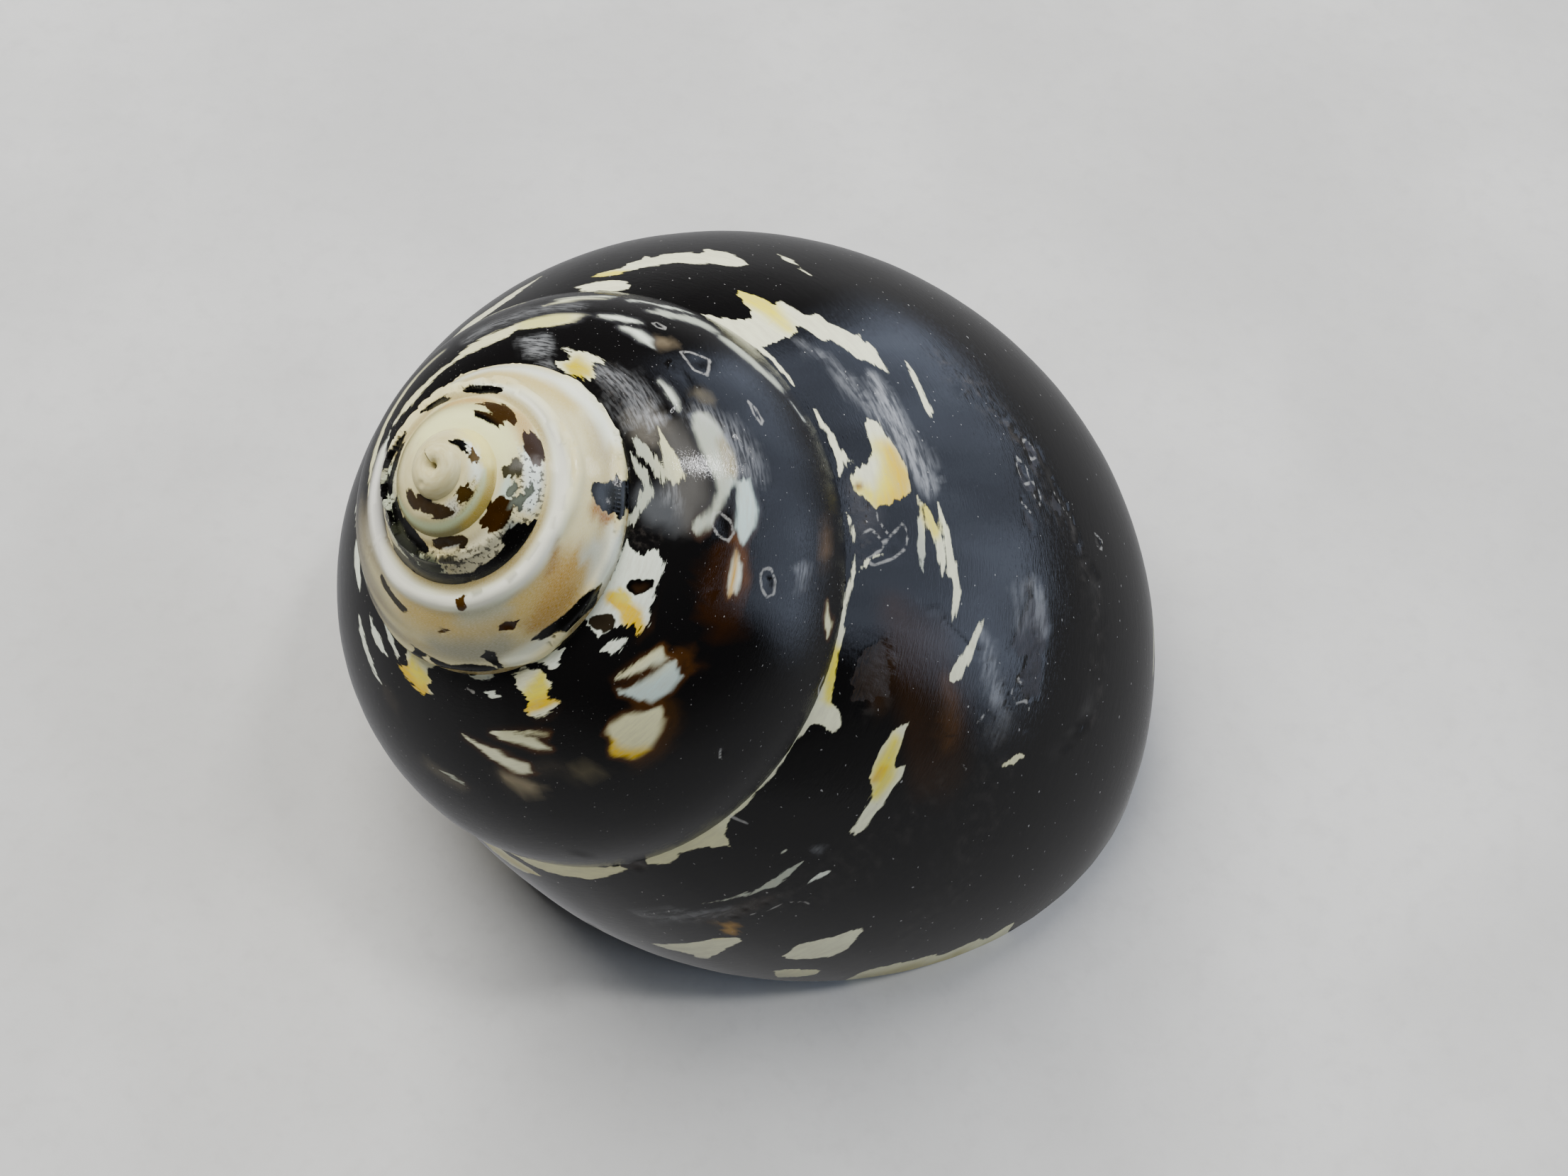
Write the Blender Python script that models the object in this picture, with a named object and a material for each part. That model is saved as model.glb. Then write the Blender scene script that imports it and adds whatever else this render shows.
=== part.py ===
"""Top shell: one coiled shell wall, resting mouth-down on its lip and base.

The shell is a right-handed spiral. An oval whorl section grows as it turns about
the coiling axis, each whorl overlapping the one before. The axis leans, so the
plane of the ground cuts the last whorl along the lip. The body whorl is hollow
behind the aperture; the spire above it is filled with shell.

Metres, +Z up. The origin is under the middle of the shell, on the ground.
"""
import math

import bmesh
import bpy
import numpy as np
from mathutils import Vector

# ---------------------------------------------------------------- driving dimensions
UNIT = 0.02905            # whorl scale at turn 0, near the lip
APEX_HEIGHT = 1.742       # height of the coiling cone's tip above the ground, in units
AXIS_LEAN = 30.6          # degrees from vertical
AXIS_TOWARD = -154.0      # degrees, the side that the apex leans to
PHASE = 10.3              # degrees, where turn 0 lies about the axis
CENTRE = (0.8273, 0.3775)  # middle of the shell from under the cone's tip, in units

TURN_NUCLEUS = -5.5       # first turn of the spire
TURN_LIP = 0.2            # last turn, at the upper corner of the lip
GROWTH = ((-5.0, 0.54), (-4.0, 0.925), (-3.0, 0.222), (-2.0, 0.625),
          (-1.0, 0.695), (0.4, 0.80))     # turn, growth rate of the whorl per turn

# Whorl section, an oval, as early value and two terms that grow in over the last
# FILL_TURNS turns. Lengths are in whorl scales, angles in radians.
FILL_TURNS = 1.6
AXIS_GAP = (0.831, 0.146, -0.499)         # from the axis to the oval's middle
AXIS_DEPTH = (1.648, 0.211, -0.163)       # from the cone's tip down to the oval's middle
OVAL_A = (0.832, -0.453, 0.209)
OVAL_B = (0.959, 0.259, 0.025)
OVAL_TILT = (0.525, 0.356, -0.617)
FLARE_START = -0.22       # turn where the lip begins to flare
FLARE_DEPTH = 0.18        # extra depth and gap at a full turn of flare
FLARE_GAP = 0.49

UMBILICUS = 0.11          # radius of the hole round the axis for each unit of depth
CORE_TAPER = 0.125        # radius of the pillar that closes it for each unit of depth
CORE_START = 0.25         # the pillar's top end, as depth below the cone's tip, in units
CORE_END = 1.56           # its lower end, which floors the umbilicus
CORE_DOME = 0.08          # height of the dome on its lower end, in units

WALL = 0.0022             # shell wall at the lip
WALL_DEEP = 0.0016        # shell wall at the inner end of the hollow
CALLUS = 0.0008           # glaze on the whorl that the hollow runs past
HOLLOW_START = -1.22      # inner end of the hollow
HOLLOW_END = 0.36         # the hollow's cutter runs on past the lip
HEART_SHARE = 0.55        # where the hollow's rays start, between the two whorls' walls
ROUND_TURNS = 0.14        # the hollow's inner end closes over this many turns
ROUND_START = 0.15        # and starts this far into the rounding

BLOCK_SIZE = 0.14         # the block above the ground, larger than the shell

TURN_COARSE = -2.6        # rings are coarser before this turn
RINGS_PER_TURN = 44
RINGS_PER_TURN_COARSE = 26
POINTS_ROUND = 28
CROWDING = 0.35           # points round the section shift this far towards the umbilicus
HOLLOW_RINGS_PER_TURN = 40
HOLLOW_POINTS = 28
CORE_RINGS = 6
CORE_POINTS = 16
SHARP_ANGLE = 35.0        # degrees, edges folded more than this are shaded sharp


# ---------------------------------------------------------------- the coil
def unit_vectors():
    """The coiling axis, towards the apex, and two directions square to it."""
    lean = math.radians(AXIS_LEAN)
    toward = math.radians(AXIS_TOWARD)
    axis = np.array([math.sin(lean) * math.cos(toward),
                     math.sin(lean) * math.sin(toward), math.cos(lean)])
    side = np.cross([0.0, 0.0, 1.0], axis)
    side /= np.linalg.norm(side)
    return axis, side, np.cross(axis, side)


AXIS, SIDE, FRONT = unit_vectors()
TIP = np.array([-CENTRE[0], -CENTRE[1], APEX_HEIGHT]) * UNIT
TURN_TABLE = np.linspace(-6.0, 0.6, 1321)


def growth_table():
    """Logarithm of the whorl scale along TURN_TABLE, zero at turn 0."""
    turns, rates = zip(*GROWTH)
    rate = np.interp(TURN_TABLE, turns, rates)
    steps = (rate[1:] + rate[:-1]) / 2 * np.diff(TURN_TABLE)
    log_scale = np.concatenate([[0.0], np.cumsum(steps)])
    return log_scale - np.interp(0.0, TURN_TABLE, log_scale)


LOG_SCALE = growth_table()


def whorl_scale(turn):
    return UNIT * np.exp(np.interp(turn, TURN_TABLE, LOG_SCALE))


def oval(turn):
    """Middle (radius, depth), half widths and tilt of the whorl section, in metres."""
    fill = max(0.0, 1.0 + turn / FILL_TURNS)
    flare = max(0.0, turn - FLARE_START) ** 2

    def grown(terms):
        return terms[0] + terms[1] * fill ** 2 + terms[2] * fill ** 3

    scale = float(whorl_scale(turn))
    return ((grown(AXIS_GAP) + FLARE_GAP * flare) * scale,
            -(grown(AXIS_DEPTH) + FLARE_DEPTH * flare) * scale,
            grown(OVAL_A) * scale, grown(OVAL_B) * scale, grown(OVAL_TILT))


def place(turn, radius, height):
    """A point at a radius from the axis and a height along it, on the given turn."""
    angle = math.radians(PHASE) - 2 * math.pi * turn
    return (TIP + radius * (math.cos(angle) * SIDE + math.sin(angle) * FRONT)
            + height * AXIS)


def ring_outside(turn):
    """Points round the outside of the whorl section, outside the hole round the axis."""
    mid_r, mid_z, half_a, half_b, tilt = oval(turn)
    points = []
    for k in range(POINTS_ROUND):
        share = 2 * math.pi * k / POINTS_ROUND
        angle = share + CROWDING * math.sin(share)
        x, y = half_a * math.cos(angle), half_b * math.sin(angle)
        radius = mid_r + math.cos(tilt) * x - math.sin(tilt) * y
        height = mid_z + math.sin(tilt) * x + math.cos(tilt) * y
        points.append(place(turn, max(radius, -UMBILICUS * height), height))
    return points


def ray_to_oval(start, direction, section, grow):
    """Distances along a ray to an oval's outline grown by a margin, or None."""
    mid_r, mid_z, half_a, half_b, tilt = section
    turn_back = np.array([[math.cos(tilt), math.sin(tilt)],
                          [-math.sin(tilt), math.cos(tilt)]])
    sizes = np.array([half_a + grow, half_b + grow])
    origin = turn_back @ (start - np.array([mid_r, mid_z])) / sizes
    step = turn_back @ direction / sizes
    a, b, c = step @ step, 2 * origin @ step, origin @ origin - 1
    root = b * b - 4 * a * c
    if root <= 0:
        return None
    return (-b - math.sqrt(root)) / (2 * a), (-b + math.sqrt(root)) / (2 * a)


def ring_hollow(turn, wall, shrink=1.0):
    """Points round the hollow: inside the wall, outside the whorl before and the pillar."""
    here = oval(turn)
    before = oval(turn - 1.0)
    here_mid, before_mid = np.array(here[:2]), np.array(before[:2])
    away = (here_mid - before_mid) / np.linalg.norm(here_mid - before_mid)
    near = ray_to_oval(before_mid, away, before, CALLUS)[1]
    far = ray_to_oval(before_mid, away, here, -wall)[1]
    heart = before_mid + away * (near + HEART_SHARE * (far - near))
    room = heart[0] + UMBILICUS * heart[1] - wall
    points = []
    for k in range(HOLLOW_POINTS):
        angle = 2 * math.pi * k / HOLLOW_POINTS
        direction = np.array([math.cos(angle), math.sin(angle)])
        reach = ray_to_oval(heart, direction, here, -wall)[1]
        stop = ray_to_oval(heart, direction, before, CALLUS)
        if stop is not None and stop[0] > 0:
            reach = min(reach, stop[0])
        inward = -(direction[0] + UMBILICUS * direction[1])
        if inward > 0:
            reach = min(reach, room / inward)
        radius, height = heart + direction * reach * shrink
        points.append(place(turn, radius, height))
    return points


# ---------------------------------------------------------------- meshes
def loft(name, rings, start_tip, end_tip):
    """A closed tube through rings of points, drawn to a tip at each end."""
    mesh_builder = bmesh.new()
    loops = [[mesh_builder.verts.new(Vector(p)) for p in ring] for ring in rings]
    first_tip = mesh_builder.verts.new(Vector(start_tip))
    last_tip = mesh_builder.verts.new(Vector(end_tip))
    count = len(loops[0])
    for ring, after in zip(loops[:-1], loops[1:]):
        for k in range(count):
            j = (k + 1) % count
            mesh_builder.faces.new((ring[k], ring[j], after[j], after[k]))
    for k in range(count):
        j = (k + 1) % count
        mesh_builder.faces.new((first_tip, loops[0][j], loops[0][k]))
        mesh_builder.faces.new((last_tip, loops[-1][k], loops[-1][j]))
    bmesh.ops.recalc_face_normals(mesh_builder, faces=mesh_builder.faces)
    mesh = bpy.data.meshes.new(name)
    mesh_builder.to_mesh(mesh)
    mesh_builder.free()
    piece = bpy.data.objects.new(name, mesh)
    bpy.context.collection.objects.link(piece)
    return piece


def coil_turns():
    """Turns of the outside rings: coarse in the spire, fine in the last whorls."""
    coarse = int((TURN_COARSE - TURN_NUCLEUS) * RINGS_PER_TURN_COARSE)
    fine = int((TURN_LIP - TURN_COARSE) * RINGS_PER_TURN)
    return np.concatenate([np.linspace(TURN_NUCLEUS, TURN_COARSE, coarse, endpoint=False),
                           np.linspace(TURN_COARSE, TURN_LIP, fine + 1)])


def make_coil():
    turns = coil_turns()
    rings = [ring_outside(float(t)) for t in turns]
    first = oval(TURN_NUCLEUS)
    last = oval(TURN_LIP)
    return loft("shell", rings, place(TURN_NUCLEUS, first[0], first[1]),
                place(TURN_LIP, last[0], last[1]))


def make_core():
    """The pillar of shell round the axis, from inside the spire to the umbilicus."""
    rings = []
    for depth in np.linspace(CORE_START, CORE_END, CORE_RINGS) * UNIT:
        radius = CORE_TAPER * depth
        rings.append([place(k / CORE_POINTS, radius, -depth) for k in range(CORE_POINTS)])
    return as_cutter(loft("core", rings, TIP - CORE_START * UNIT * AXIS,
                          TIP - (CORE_END + CORE_DOME) * UNIT * AXIS))


def make_hollow():
    """The cutter of the hollow, rounded off at its inner end."""
    count = int((HOLLOW_END - HOLLOW_START) * HOLLOW_RINGS_PER_TURN)
    turns = np.linspace(HOLLOW_START, HOLLOW_END, count + 1)
    rings = []
    for turn in turns:
        share = (turn - HOLLOW_START) / (HOLLOW_END - HOLLOW_START)
        wall = WALL_DEEP + (WALL - WALL_DEEP) * share
        rounding = min(1.0, (turn - HOLLOW_START) / ROUND_TURNS + ROUND_START)
        rings.append(ring_hollow(float(turn), wall, math.sqrt(rounding * (2 - rounding))))
    start = np.mean(rings[0], axis=0)
    end = np.mean(rings[-1], axis=0)
    return as_cutter(loft("hollow_cutter", rings, start, end))


def make_ground_block():
    """A block whose underside is the ground; the shell keeps what is inside it."""
    mesh_builder = bmesh.new()
    bmesh.ops.create_cube(mesh_builder, size=BLOCK_SIZE)
    for vert in mesh_builder.verts:
        vert.co.z += BLOCK_SIZE / 2
    mesh = bpy.data.meshes.new("ground_block")
    mesh_builder.to_mesh(mesh)
    mesh_builder.free()
    block = bpy.data.objects.new("ground_block", mesh)
    bpy.context.collection.objects.link(block)
    return as_cutter(block)


def as_cutter(piece):
    piece.hide_render = True
    piece.display_type = 'WIRE'
    return piece


def add_boolean(piece, name, operation, cutter, whorls_overlap=False):
    cut = piece.modifiers.new(name, 'BOOLEAN')
    cut.operation = operation
    cut.solver = 'EXACT'
    cut.use_self = whorls_overlap
    cut.object = cutter


def shell_material():
    material = bpy.data.materials.new("shell")
    material.use_nodes = True
    surface = material.node_tree.nodes["Principled BSDF"]
    surface.inputs["Base Color"].default_value = (0.015, 0.013, 0.012, 1.0)
    surface.inputs["Roughness"].default_value = 0.12
    surface.inputs["Metallic"].default_value = 0.0
    return material


def main():
    for piece in list(bpy.data.objects):
        bpy.data.objects.remove(piece)
    shell = make_coil()
    add_boolean(shell, "pillar", 'UNION', make_core(), whorls_overlap=True)
    add_boolean(shell, "above_ground", 'INTERSECT', make_ground_block())
    add_boolean(shell, "hollow", 'DIFFERENCE', make_hollow())
    shell.data.materials.append(shell_material())
    shell.data.shade_smooth()
    shell.data.set_sharp_from_angle(angle=math.radians(SHARP_ANGLE))


main()
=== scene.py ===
"""Looks of the top shell: a polished black shell with ivory marks, lying on a pale floor."""

import math

import bpy
import numpy as np
from mathutils import Matrix, Vector


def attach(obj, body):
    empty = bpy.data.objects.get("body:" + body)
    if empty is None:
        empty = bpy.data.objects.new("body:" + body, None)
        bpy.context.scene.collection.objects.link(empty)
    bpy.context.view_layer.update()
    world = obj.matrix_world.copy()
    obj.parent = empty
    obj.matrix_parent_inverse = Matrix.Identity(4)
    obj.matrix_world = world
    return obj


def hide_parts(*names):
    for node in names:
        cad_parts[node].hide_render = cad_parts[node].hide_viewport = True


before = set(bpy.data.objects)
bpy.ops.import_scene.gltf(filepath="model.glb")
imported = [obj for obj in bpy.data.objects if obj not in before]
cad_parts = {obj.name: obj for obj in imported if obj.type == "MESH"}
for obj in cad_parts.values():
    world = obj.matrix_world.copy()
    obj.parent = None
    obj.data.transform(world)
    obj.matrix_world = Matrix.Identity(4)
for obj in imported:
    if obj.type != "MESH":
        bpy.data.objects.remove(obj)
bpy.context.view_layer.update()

# ---------------------------------------------------------------- the coil, as in the CAD
UNIT = 0.02905            # metres; the coil's own measure
APEX_HEIGHT = 1.742       # height of the tip over the ground, in units
AXIS_LEAN = 30.6          # degrees from upright, and the direction of the lean
AXIS_TOWARD = -154.0
PHASE = math.radians(10.3)
CENTRE = (0.8273, 0.3775) # from the tip to the middle of the shell, in units
TURN_NUCLEUS = -5.5       # the coil runs from this turn to the lip's
TURN_LIP = 0.2
GROWTH = ((-5.0, 0.54), (-4.0, 0.925), (-3.0, 0.222), (-2.0, 0.625), (-1.0, 0.695), (0.4, 0.80))
# How the section changes over the last turns: a constant, a square and a cube term.
FILL_TURNS = 1.6
AXIS_GAP = (0.831, 0.146, -0.499)
AXIS_DEPTH = (1.648, 0.211, -0.163)
OVAL_A = (0.832, -0.453, 0.209)
OVAL_B = (0.959, 0.259, 0.025)
OVAL_TILT = (0.525, 0.356, -0.617)
FLARE_START = -0.22       # the coil widens toward the lip from this turn
FLARE_DEPTH = 0.18
FLARE_GAP = 0.49
UMBILICUS = 0.11          # slope of the open cone round the axis
CORE_TAPER = 0.125        # the pillar on the axis: slope, top, bottom and rounded foot
CORE_START = 0.25
CORE_END = 1.56
CORE_DOME = 0.08
WALL = 0.0022             # metres at the lip, and at the inner end of the hollow
WALL_DEEP = 0.0016
CALLUS = 0.0008           # metres of shell laid over the whorl before
HOLLOW_START = -1.22
HOLLOW_END = 0.36
HEART_SHARE = 0.55        # where the hollow's middle lies, from the whorl before to the outer wall
ROUND_TURNS = 0.14        # the hollow's inner end is rounded over these turns, from this share
ROUND_START = 0.15

# ---------------------------------------------------------------- fineness of the mesh
INSET = 0.00004           # the fine surface lies this far inside the CAD curve
RINGS = ((-5.5, 50), (-3.0, 80), (-2.0, 110), (-1.0, 130), (0.2, 150))   # turn, rings per turn
POINTS_ROUND = 84
CROWDING = 0.35           # points lie closer together by this share on the side facing the axis
HOLLOW_RINGS = 84
HOLLOW_POINTS = 60
CORE_RINGS = 20
CORE_POINTS = 48
DOME_RINGS = 6
BLOCK = 0.07              # half the width of the block that cuts the shell flat on the ground
FINE, COARSE = 0.17, 1.5  # millimetres: edge length at a mark's edge, and the most
GROWS = 0.55              # edge length gained per millimetre away from a mark's edge
SPLIT_OVER = 1.35         # an edge is halved when it is this many times longer than wanted
BULGE = 0.0003            # metres that the middle of a halved edge may move, at most, to reach the curve
PASSES = 3
FAR_FROM_MARKS = 9.0      # millimetres, for vertices that are not on the outside
SPIRE_CLOSENESS = 0.25    # millimetres from a mark's edge that the whole spire is taken to be
OUTSIDE, PILLAR, GROUND, INSIDE, RIM = range(5)
SLOT_OF = np.array([0, 3, 2, 1, 2])   # material of each region
MM = 1000.0
SMALL_TURN, SMALL_ANGLE = 2e-4, 8e-4   # steps that slopes of the surface are measured over
NOT_ZERO = 1e-20


def unit_vectors():
    """The coil's axis, pointing to the tip, and two directions across it."""
    lean, toward = math.radians(AXIS_LEAN), math.radians(AXIS_TOWARD)
    axis = np.array([math.sin(lean) * math.cos(toward), math.sin(lean) * math.sin(toward), math.cos(lean)])
    side = np.cross([0.0, 0.0, 1.0], axis)
    side /= np.linalg.norm(side)
    return axis, side, np.cross(axis, side)


AXIS, SIDE, FRONT = unit_vectors()
TIP = np.array([-CENTRE[0], -CENTRE[1], APEX_HEIGHT]) * UNIT
TURN_TABLE = np.linspace(-6.0, 0.6, 1321)
SEAM = math.radians(140)  # the angle across a section runs from here down to 360 degrees less


def growth_table():
    """Logarithm of the whorl's size at each turn of TURN_TABLE, nought at turn 0."""
    turns, rates = zip(*GROWTH)
    rate = np.interp(TURN_TABLE, turns, rates)
    steps = (rate[1:] + rate[:-1]) / 2 * np.diff(TURN_TABLE)
    log_scale = np.concatenate([[0.0], np.cumsum(steps)])
    return log_scale - np.interp(0.0, TURN_TABLE, log_scale)


LOG_SCALE = growth_table()


def size_at(turn):
    return np.exp(np.interp(turn, TURN_TABLE, LOG_SCALE))


def oval(turn):
    """Middle (radius, height), half widths and tilt of the whorl section, for an array of turns."""
    turn = np.asarray(turn, float)
    fill = np.maximum(0.0, 1.0 + turn / FILL_TURNS)
    flare = np.maximum(0.0, turn - FLARE_START) ** 2
    scale = UNIT * size_at(turn)

    def grown(terms):
        return terms[0] + terms[1] * fill ** 2 + terms[2] * fill ** 3

    radius, depth = grown(AXIS_GAP) + FLARE_GAP * flare, grown(AXIS_DEPTH) + FLARE_DEPTH * flare
    return radius * scale, -depth * scale, grown(OVAL_A) * scale, grown(OVAL_B) * scale, grown(OVAL_TILT)


def place(turn, radius, height):
    """Points at a turn of the coil, a radius from its axis and a height along it."""
    angle = PHASE - 2 * math.pi * np.asarray(turn, float)
    return (TIP + (radius * np.cos(angle))[..., None] * SIDE + (radius * np.sin(angle))[..., None] * FRONT
            + np.asarray(height)[..., None] * AXIS)


def outside(turn, across, lift=0.0):
    """Points on the outside of the whorl at an angle across its section, lifted outwards."""
    mid_r, mid_z, half_a, half_b, tilt = oval(turn)
    x, y = (half_a + lift) * np.cos(across), (half_b + lift) * np.sin(across)
    radius = mid_r + np.cos(tilt) * x - np.sin(tilt) * y
    height = mid_z + np.sin(tilt) * x + np.cos(tilt) * y
    return place(turn, np.maximum(radius, -UMBILICUS * height), height)


def find(points, near):
    """Turn and angle across of points near the outside, on the whorl nearest to a turn, and their miss."""
    from_tip = points - TIP
    height = from_tip @ AXIS
    a, b = from_tip @ SIDE, from_tip @ FRONT
    part = (PHASE - np.arctan2(b, a)) / (2 * math.pi)
    turn = near + (part - near + 0.5) % 1.0 - 0.5
    mid_r, mid_z, half_a, half_b, tilt = oval(turn)
    dr, dz = np.hypot(a, b) - mid_r, height - mid_z
    x, y = np.cos(tilt) * dr + np.sin(tilt) * dz, np.cos(tilt) * dz - np.sin(tilt) * dr
    across = np.arctan2(y / half_b, x / half_a)
    across = np.where(across > SEAM, across - 2 * math.pi, across)
    miss = np.abs((np.hypot(x / half_a, y / half_b) - 1) * half_a + INSET)
    return turn, across, miss


def ray_to_oval(start, direction, section, grow):
    """Lengths at which a ray in the plane of a section enters and leaves its oval, or None."""
    mid_r, mid_z, half_a, half_b, tilt = (float(v) for v in section)
    turn_back = np.array([[math.cos(tilt), math.sin(tilt)], [-math.sin(tilt), math.cos(tilt)]])
    sizes = np.array([half_a + grow, half_b + grow])
    origin = turn_back @ (start - np.array([mid_r, mid_z])) / sizes
    step = turn_back @ direction / sizes
    a, b, c = step @ step, 2 * origin @ step, origin @ origin - 1
    root = b * b - 4 * a * c
    if root <= 0:
        return None
    return (-b - math.sqrt(root)) / (2 * a), (-b + math.sqrt(root)) / (2 * a)


def ring_hollow(turn, wall, shrink):
    """One ring of the hollow: inside this whorl's wall, and clear of the whorl before and the axis."""
    here, before = oval(turn), oval(turn - 1.0)
    here_mid = np.array([float(here[0]), float(here[1])])
    before_mid = np.array([float(before[0]), float(before[1])])
    away = (here_mid - before_mid) / np.linalg.norm(here_mid - before_mid)
    near = ray_to_oval(before_mid, away, before, CALLUS)[1]
    far = ray_to_oval(before_mid, away, here, -wall)[1]
    heart = before_mid + away * (near + HEART_SHARE * (far - near))
    room = heart[0] + UMBILICUS * heart[1] - wall
    radii, heights = [], []
    for k in range(HOLLOW_POINTS):
        angle = 2 * math.pi * k / HOLLOW_POINTS
        direction = np.array([math.cos(angle), math.sin(angle)])
        reach = ray_to_oval(heart, direction, here, -wall)[1]
        stop = ray_to_oval(heart, direction, before, CALLUS)
        if stop is not None and stop[0] > 0:
            reach = min(reach, stop[0])
        inward = -(direction[0] + UMBILICUS * direction[1])
        if inward > 0:
            reach = min(reach, room / inward)
        radii.append(heart[0] + direction[0] * reach * shrink)
        heights.append(heart[1] + direction[1] * reach * shrink)
    return place(np.full(HOLLOW_POINTS, turn), np.array(radii), np.array(heights))


# ---------------------------------------------------------------- rough solid, cut like the CAD
def add_object(name, data):
    made = bpy.data.objects.new(name, data)
    bpy.context.scene.collection.objects.link(made)
    return made


def add_mesh(name, points, faces, material):
    mesh = bpy.data.meshes.new(name)
    mesh.from_pydata(points, [], faces)
    mesh.materials.append(material)
    return add_object(name, mesh)


def loft(name, rings, start_tip, end_tip, material):
    """A closed skin over rings of points, with a point at each end."""
    count, rows = len(rings[0]), len(rings)
    points = np.concatenate([*rings, [start_tip], [end_tip]])
    k = np.arange(count)
    j = (k + 1) % count
    faces = []
    for base in range(0, (rows - 1) * count, count):
        faces += np.stack([base + k, base + j, base + count + j, base + count + k], 1).tolist()
    last = (rows - 1) * count
    faces += np.stack([np.full(count, rows * count), j, k], 1).tolist()
    faces += np.stack([np.full(count, rows * count + 1), last + k, last + j], 1).tolist()
    return add_mesh(name, points.tolist(), faces, material)


def coil_turns():
    turns = [TURN_NUCLEUS]
    while turns[-1] < TURN_LIP - 1e-6:
        rings = np.interp(turns[-1], *zip(*RINGS))
        turns.append(min(TURN_LIP, turns[-1] + 1.0 / rings))
    return turns


def rough_coil(material):
    share = 2 * math.pi * np.arange(POINTS_ROUND) / POINTS_ROUND
    across = share + CROWDING * np.sin(share)
    rings = [outside(np.full(POINTS_ROUND, t), across, -INSET) for t in coil_turns()]
    ends = [place(turn, *oval(turn)[:2]) for turn in (TURN_NUCLEUS, TURN_LIP)]
    return loft("rough_coil", rings, *ends, material)


def rough_core(material):
    """The pillar on the axis: a cone with a rounded foot."""
    around = np.arange(CORE_POINTS) / CORE_POINTS

    def ring(radius, depth):
        return place(around, np.full(CORE_POINTS, radius), np.full(CORE_POINTS, -depth))

    depths = np.linspace(CORE_START, CORE_END, CORE_RINGS) * UNIT
    rings = [ring(CORE_TAPER * depth, depth) for depth in depths]
    dome = CORE_DOME * UNIT
    base_radius = CORE_TAPER * CORE_END * UNIT
    for k in range(1, DOME_RINGS):
        bend = k / DOME_RINGS * math.pi / 2
        rings.append(ring(base_radius * math.cos(bend), CORE_END * UNIT + dome * math.sin(bend)))
    return loft("rough_core", rings, TIP - CORE_START * UNIT * AXIS, TIP - (CORE_END * UNIT + dome) * AXIS,
                material)


def rough_hollow(material):
    rings = []
    count = int((HOLLOW_END - HOLLOW_START) * HOLLOW_RINGS)
    for turn in np.linspace(HOLLOW_START, HOLLOW_END, count + 1):
        share = (turn - HOLLOW_START) / (HOLLOW_END - HOLLOW_START)
        rounding = min(1.0, (turn - HOLLOW_START) / ROUND_TURNS + ROUND_START)
        rings.append(ring_hollow(float(turn), WALL_DEEP + (WALL - WALL_DEEP) * share,
                                 math.sqrt(rounding * (2 - rounding))))
    return loft("rough_hollow", rings, rings[0].mean(0), rings[-1].mean(0), material)


def rough_ground(material):
    """A block standing on the ground; the shell is what lies inside it."""
    corners = [(x, y, z) for x in (-BLOCK, BLOCK) for y in (-BLOCK, BLOCK) for z in (0.0, 2 * BLOCK)]
    sides = [(0, 1, 3, 2), (4, 6, 7, 5), (0, 4, 5, 1), (2, 3, 7, 6), (0, 2, 6, 4), (1, 5, 7, 3)]
    return add_mesh("rough_ground", corners, sides, material)


def rough_shell(stand_ins):
    """Points and triangles of the shell cut like the CAD, and the solid each triangle came from."""
    coil, core = rough_coil(stand_ins[OUTSIDE]), rough_core(stand_ins[PILLAR])
    hollow, block = rough_hollow(stand_ins[INSIDE]), rough_ground(stand_ins[GROUND])
    for operation, cutter, whorls_overlap in (('UNION', core, True), ('INTERSECT', block, False),
                                              ('DIFFERENCE', hollow, False)):
        cut = coil.modifiers.new(operation, 'BOOLEAN')
        cut.operation = operation
        cut.solver = 'EXACT'
        cut.use_self = whorls_overlap
        cut.material_mode = 'TRANSFER'
        cut.object = cutter
    bpy.context.view_layer.update()
    done = coil.evaluated_get(bpy.context.evaluated_depsgraph_get()).to_mesh()
    done.calc_loop_triangles()
    points = np.zeros(len(done.vertices) * 3)
    done.vertices.foreach_get("co", points)
    triangles = np.zeros(len(done.loop_triangles) * 3, np.int64)
    done.loop_triangles.foreach_get("vertices", triangles)
    slots = np.zeros(len(done.loop_triangles), np.int64)
    done.loop_triangles.foreach_get("material_index", slots)
    names = [s.name for s in stand_ins]
    source = np.array([names.index(m.name) for m in done.materials])[slots]
    for piece in (coil, core, hollow, block):
        bpy.data.objects.remove(piece)
    return points.reshape(-1, 3), triangles.reshape(-1, 3), source


# ---------------------------------------------------------------- smooth noise, the same on every run
def lattice(i, j, seed):
    """A value between -1 and 1 for each whole-numbered place: its bits, thoroughly mixed."""
    mixed = (i.astype(np.int64) * 374761393 + j.astype(np.int64) * 668265263 + seed * 974634777) & 0xFFFFFFFF
    mixed = ((mixed ^ (mixed >> 13)) * 1274126177) & 0xFFFFFFFF
    return ((mixed ^ (mixed >> 16)) & 0xFFFF) / 32767.5 - 1.0


def noise(x, y, seed):
    """Smooth noise between about -1 and 1, one lump per unit of x and y."""
    i, j = np.floor(x), np.floor(y)
    u, v = x - i, y - j
    u, v = u * u * (3 - 2 * u), v * v * (3 - 2 * v)
    return ((lattice(i, j, seed) * (1 - u) + lattice(i + 1, j, seed) * u) * (1 - v)
            + (lattice(i, j + 1, seed) * (1 - u) + lattice(i + 1, j + 1, seed) * u) * v)


def smooth(value, low, high):
    """0 at low, 1 at high, and an easy curve between."""
    share = np.clip((value - low) / (high - low), 0, 1)
    return share * share * (3 - 2 * share)


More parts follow.
